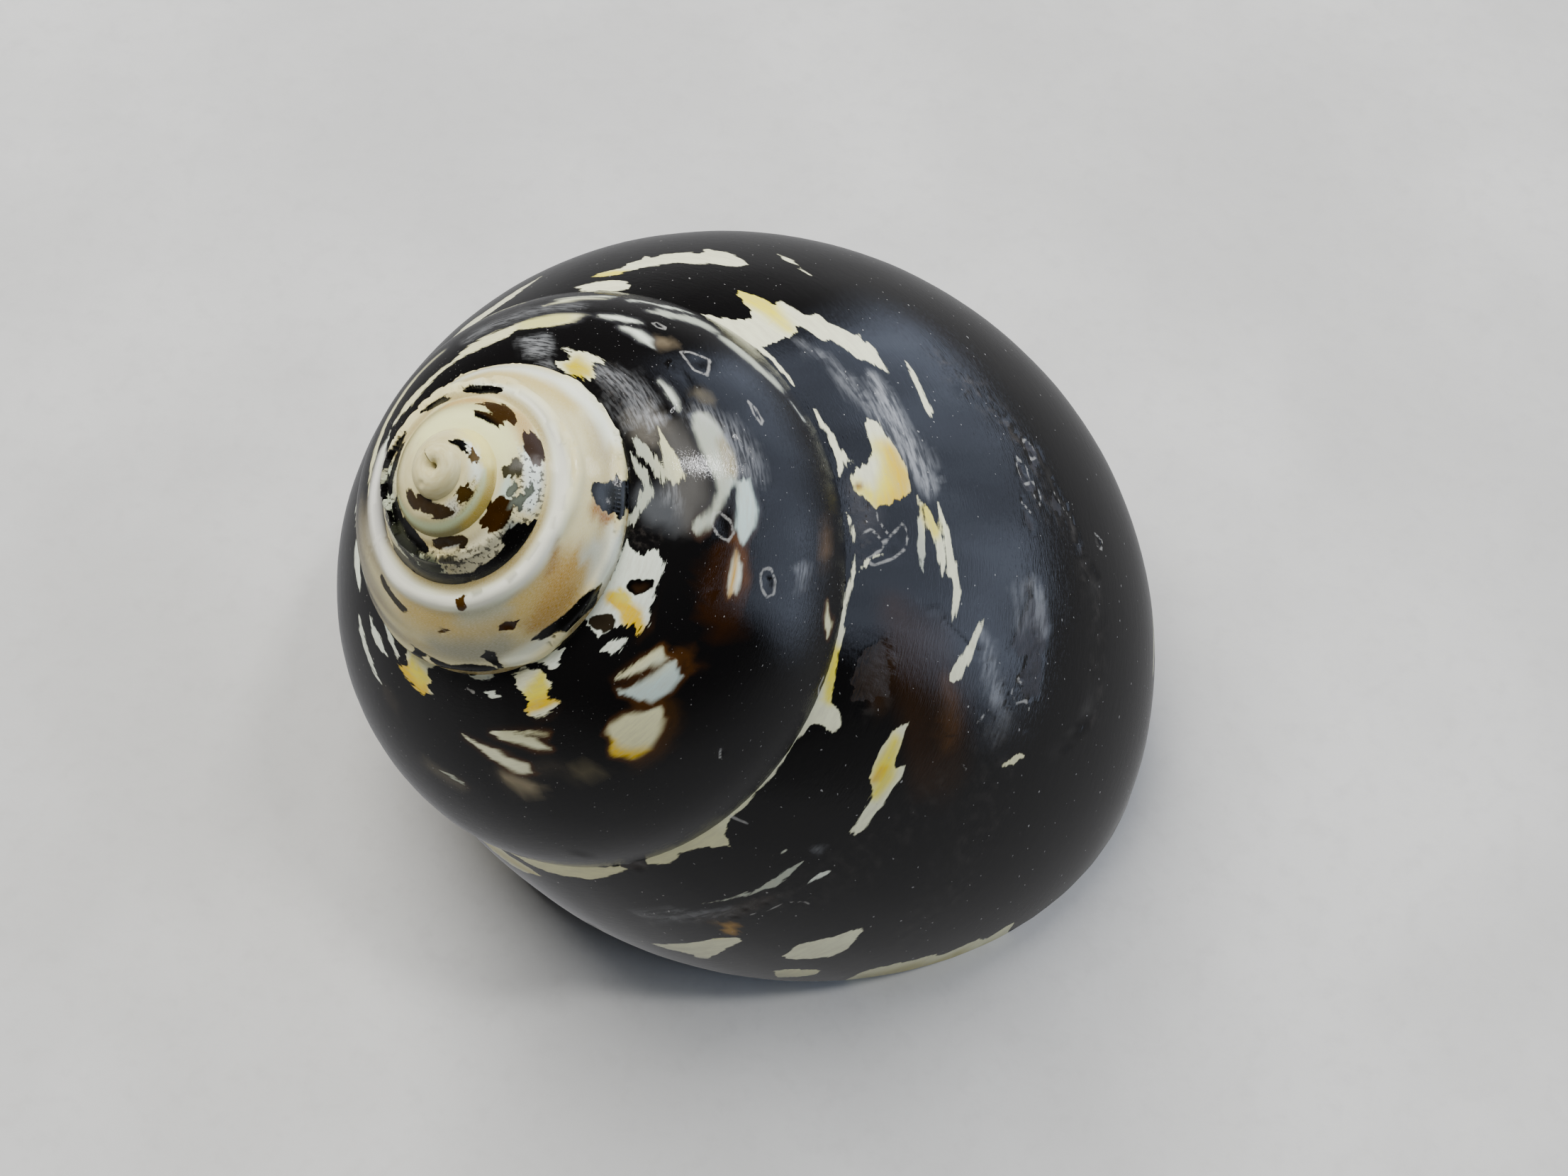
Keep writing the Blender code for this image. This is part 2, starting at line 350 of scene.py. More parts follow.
def tone(red, green, blue):
    """A colour as it looks on a screen, 0 to 255, in linear light."""
    return tuple((((c / 255) + 0.055) / 1.055) ** 2.4 if c > 10 else c / 255 / 12.92
                 for c in (red, green, blue))


def linear(colour):
    return np.array(tone(*colour))


# ---------------------------------------------------------------- marks of the shell
# A mark is a run of places: hundredths of a turn along the coil, and degrees across the whorl. A patch
# is an outline of such places. A stroke has a third number at each, its half width in millimetres.
IVORY, CREAM, WHITE = (250, 246, 224), (234, 226, 198), (244, 245, 240)
GREY, BLUISH, TAN = (186, 186, 180), (206, 216, 220), (156, 145, 116)
YELLOW, GOLD = (245, 222, 130), (226, 188, 84)

PALE_PATCHES = (
    # body whorl, upper side, going forward along the coil
    (IVORY, (-41.8,35, -40.5,37.3, -39.5,38.5, -38.3,38.5, -37.4,37.5, -37.2,35.5, -38,33.6, -39,33,
        -40.5,33.5)),
    (IVORY, (-41,31, -40,28.5, -39,27, -38.6,23.5, -38.5,20, -37.9,22, -37.2,19, -36.8,16.8, -36.4,17.5,
        -36,13, -35.6,14.5, -35.1,13.7, -34.5,14.5, -33.3,17.5, -33.6,20, -34.5,22, -35.2,23.5, -36,24.5,
        -37,26.5, -37.8,28, -38.8,31, -40,32)),
    (IVORY, (-31.8,27.5, -31,26, -30,25.3, -30,23.5, -28.5,22.5, -27.8,20, -27.2,19.8, -26.7,18, -26.2,16,
        -25.8,16.8, -25.6,15.5, -25,15.5, -23.3,16.5, -23.7,17.7, -24.3,19.5, -24.6,21.5, -26,23,
        -26.3,25, -27.7,26.5, -27.2,28, -26.8,31, -26.8,34.5, -26.9,37, -29,38.5, -31.2,39.5, -31.3,37.2,
        -30.5,36, -29.8,35, -29.5,32.5, -29.9,31, -30.6,29.7, -31.2,29)),
    (IVORY, (-20.9,27, -19.8,27.6, -18.6,30, -18.3,32, -17.6,33, -16.8,32.5, -16.2,29.8, -16.5,26.8,
        -17.2,23.5, -17.6,21.5, -18.8,21.4, -20.1,23.3, -21,23.8, -21.2,26)),
    (IVORY, (-7.2,17.6, -6.5,17.9, -5.8,17.4, -5.1,16.9, -4.9,16.5, -5.3,15.2, -4.5,14.6, -3,14.8,
        -1.5,15, -.9,15.7, -1.1,17, -2,17.6, -3.1,18, -3.6,18.8, -4,20.2, -5,20.6, -6.2,20.3)),
    (IVORY, (-9.6,36, -9.6,33, -9,32.6, -8,32.2, -7,31.7, -6.2,30.8, -5.9,28.5, -5.4,27.3, -5,28,
        -4.6,30.5, -4.2,33, -4,36)),
    (CREAM, (0,37, 0,32.5, 2,32, 3,30.5, 3.5,28, 4.5,30.5, 5,31, 6,31.5, 7,30.5, 8,31.5, 9,31.5, 10,31,
        12,30, 14,30.5, 15,31, 16,32, 17,33.5, 17,37)),
    (CREAM, (19.5,34, 19,29, 18,26.5, 17,27, 16,28, 15,28.5, 15.5,29.5, 16,31, 17,32, 18,35)),
    (IVORY, (12.2,11.5, 10.5,12, 9.3,12.3, 8.3,12.7, 7.3,12, 7,10.6, 7.6,9.5, 8.4,8.8, 9,7.2, 9.6,6,
        10.3,7, 11.2,9)),
    (IVORY, (2.2,.7, 3,1.8, 4.2,3.5, 5,4.6, 5.6,4.3, 6.3,3, 6.2,1, 5.5,-1.2, 4.8,-2.4, 4,-2.2, 3.2,-1.3,
        2.6,-.5)),
    (CREAM, (7.8,-1, 7.2,-1.2, 6.5,-2.3, 5.9,-4, 5.8,-5, 6.4,-6.3, 7.2,-5.5, 7.9,-4, 8,-2.5)),
    (CREAM, (6.6,-12.5, 5.9,-11.2, 4.8,-10.5, 3.8,-11.6, 2.8,-14.5, 1.8,-18, .7,-22.8, -.1,-25.3,
        -.9,-28.5, -.6,-32, .2,-33.3, 1,-33.3, 2,-30.3, 2.9,-26.7, 3.7,-22.3, 4.5,-19, 5.5,-16, 6.3,-13.8)),
    # body whorl, left side and front, under the suture
    (IVORY, (-78.5,49, -79.5,51, -81.5,51, -83,49.5, -82.4,46, -81.8,44.5, -82.5,41.5, -83.3,39,
        -82.4,38.3, -82,36.5, -81,36.8, -79.5,38, -78.3,39.2, -77.7,39.8, -78.7,41, -78.9,43, -78.6,45.5)),
    (IVORY, (-91,48.5, -93,50, -94.3,47.5, -95,45, -95.2,41, -94.4,38.8, -95.3,34.5, -94.3,33, -93.4,32,
        -92.3,33, -91.7,36, -92.1,37.5, -92,40, -91.6,43)),
    (WHITE, (-93,50.5, -94.2,52, -96,51, -97.5,49, -96.8,45, -96.2,43.5, -95.3,45, -94.5,47.8, -93.5,49.3)),
    (WHITE, (-109.8,52, -109.5,44, -109.8,40, -109.5,36, -108.5,35.2, -107,35, -105.5,34, -104.5,32,
        -104,33, -103,33.3, -103.3,36, -102.5,39.5, -101.5,42, -100.7,42.5, -100.2,44.5, -100.3,47,
        -101,53, -105,53, -107,53)),
    (BLUISH, (-99.3,28.5, -100.5,25.6, -102,23.5, -103.3,22.3, -103.8,19.5, -103.4,16.3, -103.6,14.3,
        -102.7,14.8, -101.8,14.8, -100.6,17, -99.9,21.5, -99.4,25.5)),
    (CREAM, (-97.5,21.5, -98.8,21, -99.8,18, -100.5,14.5, -100.4,11, -99.4,8.5, -98.2,6.3, -97.2,7,
        -96.4,10.5, -96,14.5, -96.6,18.5)),
    # penultimate whorl
    (CREAM, (-147,38, -145,33, -143,31, -141,29.5, -139.5,26, -138,24.5, -136.5,22.5, -135,20.5,
        -134,20.5, -134.3,23, -134.5,27, -135,30, -136.5,33, -138,34, -139.5,34.5, -140.3,38, -141.5,40,
        -144,41, -147,42, -150,43, -150,38)),
    (IVORY, (-134.3,41.5, -132,39.5, -130,37.8, -128.5,38, -128,39.5, -128.8,42, -128,45, -127.5,49,
        -129,51.5, -131.5,52.5, -133,52, -132.8,48.5, -132.2,45)),
    (WHITE, (-131,21, -130.3,18.5, -129.5,16.5, -128.3,17, -127.8,20.5, -128.5,22, -129.5,21.5, -130.3,22)),
    (GREY, (-131.5,3, -131.5,-2, -130.8,-8, -130,-13, -129,-15, -128,-14.5, -127.8,-11, -128.8,-8,
        -129.8,-3.5, -130.4,1, -130.9,4)),
    (GREY, (-127.7,-13, -126.5,-17, -125,-20, -123.8,-23, -123,-24, -122.6,-22, -123.5,-18, -124.3,-14,
        -125.5,-11.5, -126.8,-10, -127.6,-9.5)),
    (GREY, (-121,24, -121,18, -119.5,15, -118,12.5, -117,12.8, -116,14, -115,17.5, -114,19.5, -113.3,22,
        -112.3,25, -111.5,27.5, -112,30, -112.8,29.5, -113.7,26, -114.5,23.5, -115.5,21.5, -116.2,22,
        -117,24, -118.5,25.5, -120,26)),
    (BLUISH, (-116.5,14.5, -116.2,8.5, -115.3,8, -114,6.3, -113,7.5, -112.3,10.5, -111.8,13, -112.5,15.5,
        -114,15, -115,15)),
)
PALE_STROKES = (
    (IVORY, (-44.7,19,.2, -45.8,23,.7, -46.8,26,1, -48,28,1, -49.7,28,1, -51,30,.9, -52,32,.6, -54,34,.15)),
    (IVORY, (-33.3,8,.25, -32.5,9,.5, -31,11,.3)),
    (IVORY, (-31.2,38.5,.3, -28,37,.4, -26,36.4,.35, -25,36.2,.22, -23.8,36,.12)),
    (IVORY, (-24.6,11,.1, -23,12.3,.38, -21.8,13,.5, -21.2,13.5,.1)),
    (IVORY, (-22,34.8,.3, -21,34.3,.35, -20,33.8,.45, -19,33.6,.45, -18.2,34,.3, -17.8,34.5,.2)),
    (IVORY, (-19.5,33,.3, -18.8,32,.35, -18.3,31.5,.3)),
    (GREY, (-17.5,21,.4, -16,21,.5, -15,21.3,.35, -14,21.3,.35, -13.6,20.8,.1)),
    (IVORY, (-17.3,20.3,.3, -16.4,19.3,.6, -15.5,18.3,.55, -14.5,17.5,.55, -13.9,17.5,.3, -13.4,17.6,.1)),
    (IVORY, (-17,17.2,.1, -16.2,17,.45, -15,16.3,.5, -14,15.9,.45, -13.8,15.8,.2)),
    (IVORY, (-15,14.6,.08, -14,15.4,.45, -13.2,14.7,.55, -12.3,14.8,.35, -11.7,15,.1)),
    (IVORY, (-13,8.8,.08, -12.2,10,.3, -11.5,10.8,.55, -10.8,11.8,.75, -10,13,.8, -9.8,13.3,.6)),
    (IVORY, (-15.6,34.5,.18, -15.2,33.3,.2, -13.7,33.3,.2, -12.6,33,.25, -11.5,33.8,.35, -10,34.2,.5,
        -9,34.3,1)),
    (IVORY, (-12.7,32.3,.2, -13.4,30.5,.2, -13.9,28,.22)),
    (CREAM, (-6.7,-1.3,.1, -7,-2.2,.35, -7.3,-3.3,.4, -7.5,-4.3,.3, -7.6,-5,.1)),
    (GREY, (1.3,22.3,.25, 1.9,23,.35)),
    (GREY, (1.6,18.8,.2, 2.5,19,.6, 3.5,18.8,.6, 4.5,19.3,.3, 6,20.5,.2, 6.7,21,.1)),
    (WHITE, (.8,14.2,.1, 1.3,14.8,.45, 1.8,15,.4, 2.4,15,.15, 2.8,15,.1)),
    (IVORY, (-9.5,33.3,.5, -7.5,33.3,.35, -5.5,33.3,.48, -3.5,33.3,.3, -1.5,33.3,.24, .5,33.3,.24,
        2.5,33,.4)),
    (WHITE, (-60,41,.2, -61.5,38,.5, -63,36,.3, -64,35.5,.1)),
    (WHITE, (-62,33,.2, -63.5,34,.35, -65,36,.2)),
    (WHITE, (-65.5,38.5,.4, -67.5,38.5,.7, -69.5,38.5,.6, -70.5,39,.2)),
    (WHITE, (-73,40.5,.15, -74.5,39,.5, -76,39,.55, -77,38.5,.25)),
    (WHITE, (-74.3,46.5,.3, -76,44.5,.4, -77.5,42.5,.25, -78,41.5,.1)),
    (WHITE, (-71.8,35,.1, -73,33,.45, -74.5,31,.5, -76,29.5,.4, -77.3,28.5,.15)),
    (WHITE, (-85.8,50,.2, -87,49.3,.45, -88.3,48.7,.4, -89.3,48.2,.25)),
    (WHITE, (-88.3,44,.15, -89,43.3,.4, -90,42,.15)),
    (IVORY, (-88.3,31.3,.08, -89,31,.3, -90,29.8,.6, -91,27.7,.55, -92,25,.45, -92.8,22.8,.1)),
    (TAN, (-90,31,.2, -91,30.3,.25, -92,28.8,.2, -93,27,.12)),
    (IVORY, (-85.7,29.5,.08, -87,26.5,.35, -88.3,23.5,.6, -89.5,20.5,.7, -90.5,18.5,.6, -91,17,.25)),
    (GREY, (-83,13.5,.12, -84,12.5,.25, -85,11,.28, -85.4,10,.1)),
    (WHITE, (-102.3,36,.2, -101.5,37,.5, -100.7,38.5,.55, -100,39.8,.4)),
    (CREAM, (-103.7,22.7,.25, -103.2,24.5,.5, -102.3,26.5,.6, -101.3,28.5,.4, -100.3,30,.25,
        -99.7,30.8,.1)),
    (WHITE, (-133.3,19,.2, -132.3,17,.4, -131,14.5,.4, -130.5,13.5,.25)),
    (WHITE, (-124.5,28.5,.1, -123.3,27.7,.25, -122.3,27.5,.25, -121.5,27.7,.1)),
    (CREAM, (-139,15,.2, -137.5,10,.3, -136,6,.3, -134.7,4,.15)),
    (WHITE, (-138,8,.15, -135.5,1,.3, -134.5,-1,.1)),
    (WHITE, (-133.3,0,.15, -132.5,-5,.25, -131.5,-11,.3, -130.5,-16,.15)),
    (WHITE, (-122,-24,.15, -121.3,-26,.3)),
    (CREAM, (-120.3,37.8,.1, -119,37.3,.35, -117.5,36.3,.7, -116.5,35.5,.9, -115.8,36,.6, -115,36.5,.1)),
    (GREY, (-119.6,47,.7, -118.4,45,.7, -117,42,.5, -116,40.3,.4, -115,38.7,.2)),
    (GREY, (-118.5,50,.35, -117,48.5,.35, -116,46.5,.4, -115,45,.5, -114,47,.45, -113,49,.4, -112,50.3,.5,
        -111,51.5,.3)),
    (WHITE, (-111.3,13.5,.15, -110.5,12.8,.45, -109.7,12.5,.6, -109,12.3,.45, -108.6,12.5,.15)),
    (CREAM, (-110.3,-27.5,.55, -109.7,-29.5,.7, -109.2,-31,.5)),
    (CREAM, (-156,40,.5, -153,41.5,.6, -150,41,.9)),
    (CREAM, (-165,36,.4, -160,33,.5, -156,30,.4, -152,27,.25, -148,24,.15)),
    (WHITE, (-163,44,.25, -160,42,.4, -157,40,.3)),
)
LINES = (
    (-15.8,24.3, -15.3,23.5, -14.5,24.3, -13.9,26.5, -13.3,30, -13.6,30.8, -14.2,28.5, -15,26.8,
        -15.8,24.3),
    (-15,26.8, -15.6,28.5, -16.1,29), (-14.6,28, -15.2,30, -14.9,31.5),
    (-126.5,13, -126.3,9.5, -125.3,4.5, -124,10.5, -124.7,13.8, -126.5,13),
    (-121.8,0, -121.2,-1.7, -120.4,-2.4, -120.1,-1.2, -120.8,0, -121.8,0),
    (-113.8,20.5, -113.3,16.5, -112.6,15.3, -112,17, -112.2,20.5, -112.9,23, -113.6,22.5, -113.8,20.5),
    (-111.1,3.2, -111.2,.5, -110.6,-1.8, -109.9,-2.2, -109.6,0, -109.9,2.5, -110.6,4, -111.1,3.2),
    (-130,9.6, -129.9,7.8, -129.2,7.5, -129,8.9, -129.5,10, -130,9.6),
    (5.5,15.3, 4.6,14.6, 3.6,14.2, 3,12.6, 2.9,11.3),
    (-20.9,-6.8, -20.6,-8.5, -20.1,-8.2, -19.9,-6.6, -20.4,-5.9, -20.9,-6.8),
    (-19.9,-3, -19.5,-4.5, -18.8,-4, -18.7,-2.6, -19.4,-2, -19.9,-3),
    (-18.9,-5, -18.4,-6, -17.9,-5.2, -18.3,-4.3), (-17.9,-.4, -17.6,-1.9, -17.4,-2.6),
    (-18.7,-10, -18.1,-11.5, -17.8,-12.8), (-17.5,-20, -17.3,-22.5, -16.9,-21.5, -17,-19.8),
    (-10.4,-.4, -10.6,.8, -9.9,1.6), (-10,1.8, -9.6,0, -9.9,-2, -9.5,-3.2), (-6.4,6.3, -6.2,4.8),
    (-8.9,5.2, -8.2,6.4), (2.2,33, 1.8,30), (-118.6,16, -117.8,14.2), (-86.5,44.5, -87.2,43.5),
    (-105.9,-40, -106.3,-37), (-106.3,-37, -107,-37.3), (-101,-11, -100.6,-13),
)
DARK_PATCHES = (
    (7.8,33.5, 8.2,31, 8.8,31.2, 9.4,33, 8.8,34.3, 8,34.5), (13.7,29.4, 14.6,29.3, 14.9,30, 13.9,30.2),
    (-216,-16, -215.8,0, -214.4,6, -214.6,12, -213.4,14.5, -212.3,13, -211.8,8, -211.7,2, -211.8,-5,
        -212.4,-16),
    (-190.4,40.5, -189.7,38, -189.6,34, -190.2,33, -191,35, -191,39),
    (-195.4,14.5, -194.8,17, -194,16.6, -193.7,13.5, -194.3,11.7, -195.1,12),
    (-186.5,20, -185.7,20.8, -185.3,19, -186,17.8),
    (-181,24, -179.5,26, -177,29, -175,31, -175.4,28.5, -177.5,25, -180,22),
    (-202.5,-3, -200,-1.5, -197.5,0, -195.5,-1, -196,-4, -198.5,-6, -201,-12, -203.5,-14, -204.5,-8),
    (-186,-6, -188,-4.5, -190,-7, -190.6,-13, -188,-9.5, -186,-9.5, -184,-8, -182.5,-4, -182,-7, -184,-13,
        -181,-9, -181,-3, -183.5,-5),
    (-190.8,4, -190.2,0, -190.8,-10, -191.3,-6, -191.5,1),
)
DARK_STROKES = (
    (-106.7,39.3,.4, -106.2,42.8,.5), (-102,44.6,.5, -101.4,47.2,.5),
    # The long dark band low on the whorl three turns back, from -305.5 to -275 hundredths, is painted shade
    # along the suture.
    (-300,8,.5, -297,8,.35, -294,9,.3, -292,7,.15),
    (-291,7,.35, -287,5,.6, -283,4,.7, -279,4,.6, -275,3,.3), (-305.5,9,.35, -303,9.5,.8, -300.5,8,.6),
    (-304.6,14,.4, -303,16,.55, -301.5,18,.35), (-306.8,42,.5, -304.5,42,.8, -302.5,42,.55),
    (-334,24,.2, -331,24,.55, -328,25,.4), (-322,18,.35, -319.5,17,.6, -318,15,.35),
    (-317,37,.1, -315.5,36.5,.28, -314,35.5,.12), (-315.8,42,.15, -315.3,45,.3, -315,41.5,.15),
    (-311,37,.17, -310.8,38,.17), (-308.5,28,.22, -308.2,31,.2), (-311.5,21.5,.17, -311.2,22.5,.15),
    (-288.5,28,.1, -290.5,26.5,.2, -292,25.5,.1), (-293.5,44.5,.12, -290,46,.22, -287.5,45,.28),
    (-287.3,41,.12, -287,44,.2), (-293.3,40.5,.2, -294,42,.12), (-285.5,16,.14, -283.5,20,.2, -281.5,23,.1),
    (-281.5,12,.2, -279.5,17,.28, -278,20,.15), (-286.5,20,.12, -285.5,23,.15),
    (-284,25,.1, -281,29,.15, -279,31,.1), (-277,20,.15, -274,27,.25, -271,31,.15),
    (-278,30,.2, -274,38,.35, -270,42,.2), (-271,17,.15, -268,25,.25, -265,30,.15),
    (-266,34,.15, -262,38,.25, -258,38,.12), (-262,24,.12, -259,30,.2, -256,31,.12),
    (-283,36,.2, -279,41,.3, -276,44,.2), (-419.4,26,.14, -418.6,29,.25, -418,28,.14),
    (-405.5,33,.25, -403.5,38,.38, -401.5,42,.25), (-393,38,.3, -390,42,.42, -388,45,.3),
    (-387,48,.25, -383.5,49,.3, -381,52,.2), (-379,42,.15, -375,46,.25, -372,48,.12),
    (-384,56,.2, -379,58,.25), (-334.5,40,.1, -330.5,39,.16, -327,37,.1), (-428,41,.1, -425.5,38,.15),
    (-432,44,.08, -428,42,.1), (-250,33,.12, -246,36,.2), (-241,36,.12, -238,37,.2, -235,36,.1),
    (-20.5,-7.1,.12, -20.3,-7.3,.12), (-19.3,-3.2,.15, -19.1,-3.4,.15), (-129.5,8.8,.2, -129.3,8.7,.15),
)
# Tints: colour, how soft the edge is in millimetres, and a stroke.
PALE_TINTS = (
    (YELLOW, .5, (-40.8,31,.5, -39.3,30.8,.7, -38.6,30,.3)),
    (YELLOW, .9, (-31.5,27.6,.6, -30.3,27.5,1, -29,28,.5, -27.7,28.5,.2)),
    (GOLD, 1.2, (-19,24,.7, -18.2,24,1.1, -17.3,25,1, -16.8,28,.5)),
    (YELLOW, 1.3, (-19.2,26.5,.4, -18,27.5,.9, -17.2,30,.9)),
    ((250, 247, 226), .9, (-18.9,28,.5, -18,30,.7)), ((120, 80, 30), .3, (-17.3,31.6,.12, -17.1,31.2,.15)),
    (YELLOW, .7, (-16.9,19.8,.4, -15.8,18.6,.4)),
    (YELLOW, .8, (-5.8,18.8,.4, -4.8,18.5,.8, -4.2,17.5,.7, -3.2,17.3,.3)),
    (GOLD, .5, (-4.4,18.6,.25, -4,18.7,.3)), (YELLOW, .6, (-8.2,33.2,.5, -7,32.6,.5, -6.2,31.8,.3)),
    ((214, 200, 148), 1, (18.6,31,.6, 17.2,29.5,.7, 16,28.5,.4)),
    (YELLOW, .5, (8.2,13,.2, 7.6,12.8,.35, 7.2,12.5,.2)),
    ((188, 176, 132), 1.2, (5,-13.5,.4, 3.5,-17.5,.9, 2.2,-23,1.1, .8,-28.5,.6)),
    (GOLD, .6, (-79,40.7,.5, -80.3,40.5,1, -81.7,39,.7)), (YELLOW, .6, (-80,43.5,.5, -81.3,42,.5)),
    (GOLD, .45, (-92.5,37.3,.6, -93.7,36.8,.9, -94.8,35.5,.3)),
    (YELLOW, .6, (-92.5,40.5,.4, -93.7,42,.7, -94.2,44,.4)),
    ((250, 248, 225), .3, (-92.6,34.2,.25, -93.8,33.6,.3, -94.6,34.2,.2)),
    (GOLD, .4, (-103.6,35.6,.6, -103.7,38.5,.8, -104,42,.6, -104.4,46.5,.7)),
    ((226, 205, 120), .4, (-104.7,43,.3, -104.9,46,.4)),
    ((170, 120, 50), .45, (-103.9,19.5,.1, -104,16,.12, -103.8,13.8,.15)),
    (GOLD, .7, (-96.3,17.5,.2, -96.2,14,.5, -96.9,9.5,.3, -98,6.5,.2)),
    ((222, 214, 160), .6, (-139,29,.6, -137,28,.8, -135.6,25.5,.5)),
    ((206, 184, 96), .7, (-130.8,46.5,.6, -129.7,49,.8, -129.3,46,.3)),
    ((150, 138, 116), .5, (-118.5,16,.4, -117.2,15,.5)),
    ((196, 150, 84), .35, (-111.6,13.8,.1, -108.3,12.5,.12)),
)
GROUND_TINTS = (
    ((40, 24, 10), 1.6, (-11.5,25,1.2, -9.5,20,2.2, -7.5,15,2.4, -5.5,11,1.6)),
    # polished outside: brown, translucent or worn places
    ((34, 20, 8), 2.2, (-11,17,.8, -9,14,1.6, -7,11,2, -5.8,8,1.2)),
    ((66, 42, 18), 1, (-9.6,14.2,.3, -8.6,12.2,.6, -7.4,10.6,.6, -6.6,10,.3)),
    ((46, 32, 20), 1, (-9.3,25,.6, -8,25.5,1.1, -7.3,24,.5)),
    ((120, 74, 60), .35, (-8.4,35,.35, -7.4,34.4,.5, -6.3,33.7,.4, -5.6,33.2,.2)),
    ((46, 44, 44), 1.2, (-17,32,.5, -16,30.5,.8, -15.2,31.5,.6)),
    ((44, 38, 32), .5, (4,16.5,.3, 5.2,17,.7, 6.4,17,.6, 7,16.5,.2)),
    ((168, 128, 52), .35, (7.1,15.2,.3, 7.3,13.6,.5, 7.2,12.8,.3)),
    ((60, 38, 14), .8, (-97,5.8,.2, -98.6,4.8,.3, -100.3,8,.2, -101,12,.3, -100,19.5,.4)),
    ((70, 42, 14), .5, (-102.6,24.8,.2, -103.7,24,.3, -104.2,20,.3, -104.1,14,.3)),
    ((92, 54, 14), .6, (-111.7,13.6,.5, -110,12.6,1, -108,12.5,.7)),
    ((42, 22, 6), .5, (-110.8,17.5,1, -109,15.5,1.6, -107.6,13.5,1.6, -107.2,11,.8)),
    ((74, 66, 52), 1, (-88.5,16.5,.4, -89.3,13.8,.7, -90,11.7,.6)),
    ((146, 134, 106), .7, (-88.7,16.2,.15, -89.3,14,.6, -89.9,12,.55, -90.3,10.5,.1)),
    ((92, 84, 62), .8, (-93.2,13.7,.15, -94,12,.35, -94.7,10,.2)),
    ((84, 78, 64), .9, (-82,13,.2, -83.5,11.3,.4, -84.8,9.8,.3)),
    ((50, 44, 36), 1, (-91.3,17.5,.3, -92.4,17,.3)), ((50, 44, 36), 1, (-78,27.6,.3, -79.5,26,.15)),
    ((110, 98, 78), .7, (-127.9,16.5,.3, -127.5,14.6,.4)),
    ((92, 84, 66), .6, (-122.8,17.3,.3, -122.2,16,.3)),
    ((120, 108, 84), .7, (-52,36,.3, -50,33.5,.3, -54,38,.2)),
    ((90, 88, 84), 1.4, (-120,34,.5, -117.5,32,1, -115,31,1, -113,32,.5)),
    ((82, 84, 86), 1, (-114,45,.8, -113.3,41,.9, -112.6,37,.5)),
    ((96, 92, 84), .9, (-122,43,.5, -121,40,1, -120.2,42,.8)),
    ((110, 86, 60), .6, (-114.5,-21,.2, -113,-22,.2)),
    # spire: pearl of many tones
    ((176, 142, 92), 2, (-205,12,.8, -202.5,14,1.2, -200,13,.8)),
    ((190, 164, 116), 2, (-197,22,1, -192,20,1.2, -186,24,1, -181,27,.6)),
    ((164, 130, 78), 1.2, (-201.5,4,.6, -199,6,.8, -197,5,.5)),
    ((166, 160, 146), 1.6, (-192,3,1, -188,4,1, -185,6,.8)),
    ((176, 172, 158), 1.4, (-195,28,.5, -190,29,.5)),
    ((236, 234, 228), .9, (-209.5,-6,.4, -207.5,-8,.5, -205,-8,.4)),
    ((204, 200, 190), .9, (-207,4,.7, -206,0,.4)),
    ((138, 92, 40), .6, (-211.6,11,.2, -210.9,6,.3, -211,1,.3)),
    ((236, 232, 220), .7, (-196.4,-5,.3, -194.4,-6.5,.4, -192.4,-8,.35)),
    # A bright band along the shoulder crest of the pearly whorls: partly their own pale colour, partly a
    # painted highlight.
    ((252, 250, 240), .5, (-240,33,.15, -230,33.5,.25, -222,34,.35, -214,34,.6, -206,34,.5, -199,34.5,.5,
        -192.5,37,.45, -188.5,37.5,.4, -180,40,.5, -170,41,.45, -160,42,.25)),
    ((200, 178, 132), 1.2, (-226,12,.4, -231,16,.6, -236,15,.6, -241,17,.4)),
    ((186, 170, 140), .8, (-222,2,.5, -218.5,4,.4)),
    ((250, 248, 240), .9, (-245,8,.4, -238,4,.5, -231,2,.5, -225,-3,.4, -220,-6,.3)),
    ((150, 118, 78), .5, (-206,27,.1, -204,25,.25, -202.5,23,.1)),
    ((130, 120, 76), .9, (-325,44,.2, -345,24,.2, -362,16,.35, -375,8,.6, -385,7,.8, -392,5,.8, -398,3,.7,
        -404,-1,.7, -410,-4,.5)),
    ((168, 142, 66), .9, (-398,8,.5, -405,6,.6, -412,2,.6, -418,2,.4)),
    ((238, 222, 158), 1.2, (-433,-8,.4, -426,0,.6, -419,6,.6)),
    ((246, 240, 196), 1.5, (-350,50,.8, -340,52,1, -330,48,.8, -322,50,.8)),
    ((196, 202, 172), .4, (-372,17,.1, -380,18,.22, -388,18,.25, -396,18,.2, -404,16,.15, -412,12,.1)),
    ((206, 214, 206), .4, (-312.5,44,.3, -309.5,42,.45, -307.5,40,.25)),
    ((236, 238, 240), .5, (-319,24,.35, -315.5,21,.6, -312,19,.5, -309,18,.35)),
    ((160, 164, 172), .3, (-292.6,42.8,.15, -290,43.5,.25, -288,43,.2)),
    ((112, 116, 116), .5, (-304.2,22,.5, -302.4,22,.4, -300.8,16,.3)),
    ((150, 160, 134), .5, (-286,27,.3, -284.5,25,.35, -283.4,27,.25)),
    ((196, 198, 184), .8, (-286,14,.5, -282,18,.8, -277,25,.8, -271,30,.8, -264,32,.7)),
    ((198, 188, 168), .9, (-300,30,.8, -296,25,1, -292,20,.9)),
    ((186, 156, 112), .7, (-328,17,.4, -325,18,.6, -322.5,22,.4)),
    ((184, 150, 100), .5, (-345,19,.2, -339,20,.3, -335,20,.2)),
    ((150, 122, 72), .25, (-420.2,26,.12, -418.6,30,.18, -417.6,27,.12)),
    ((250, 250, 246), .4, (-424,31,.2, -421,26,.3)), ((240, 240, 234), .4, (-415.5,30,.25, -412,27,.35)),
    ((214, 206, 196), .4, (-397,42,.3, -394,33,.35)),
)
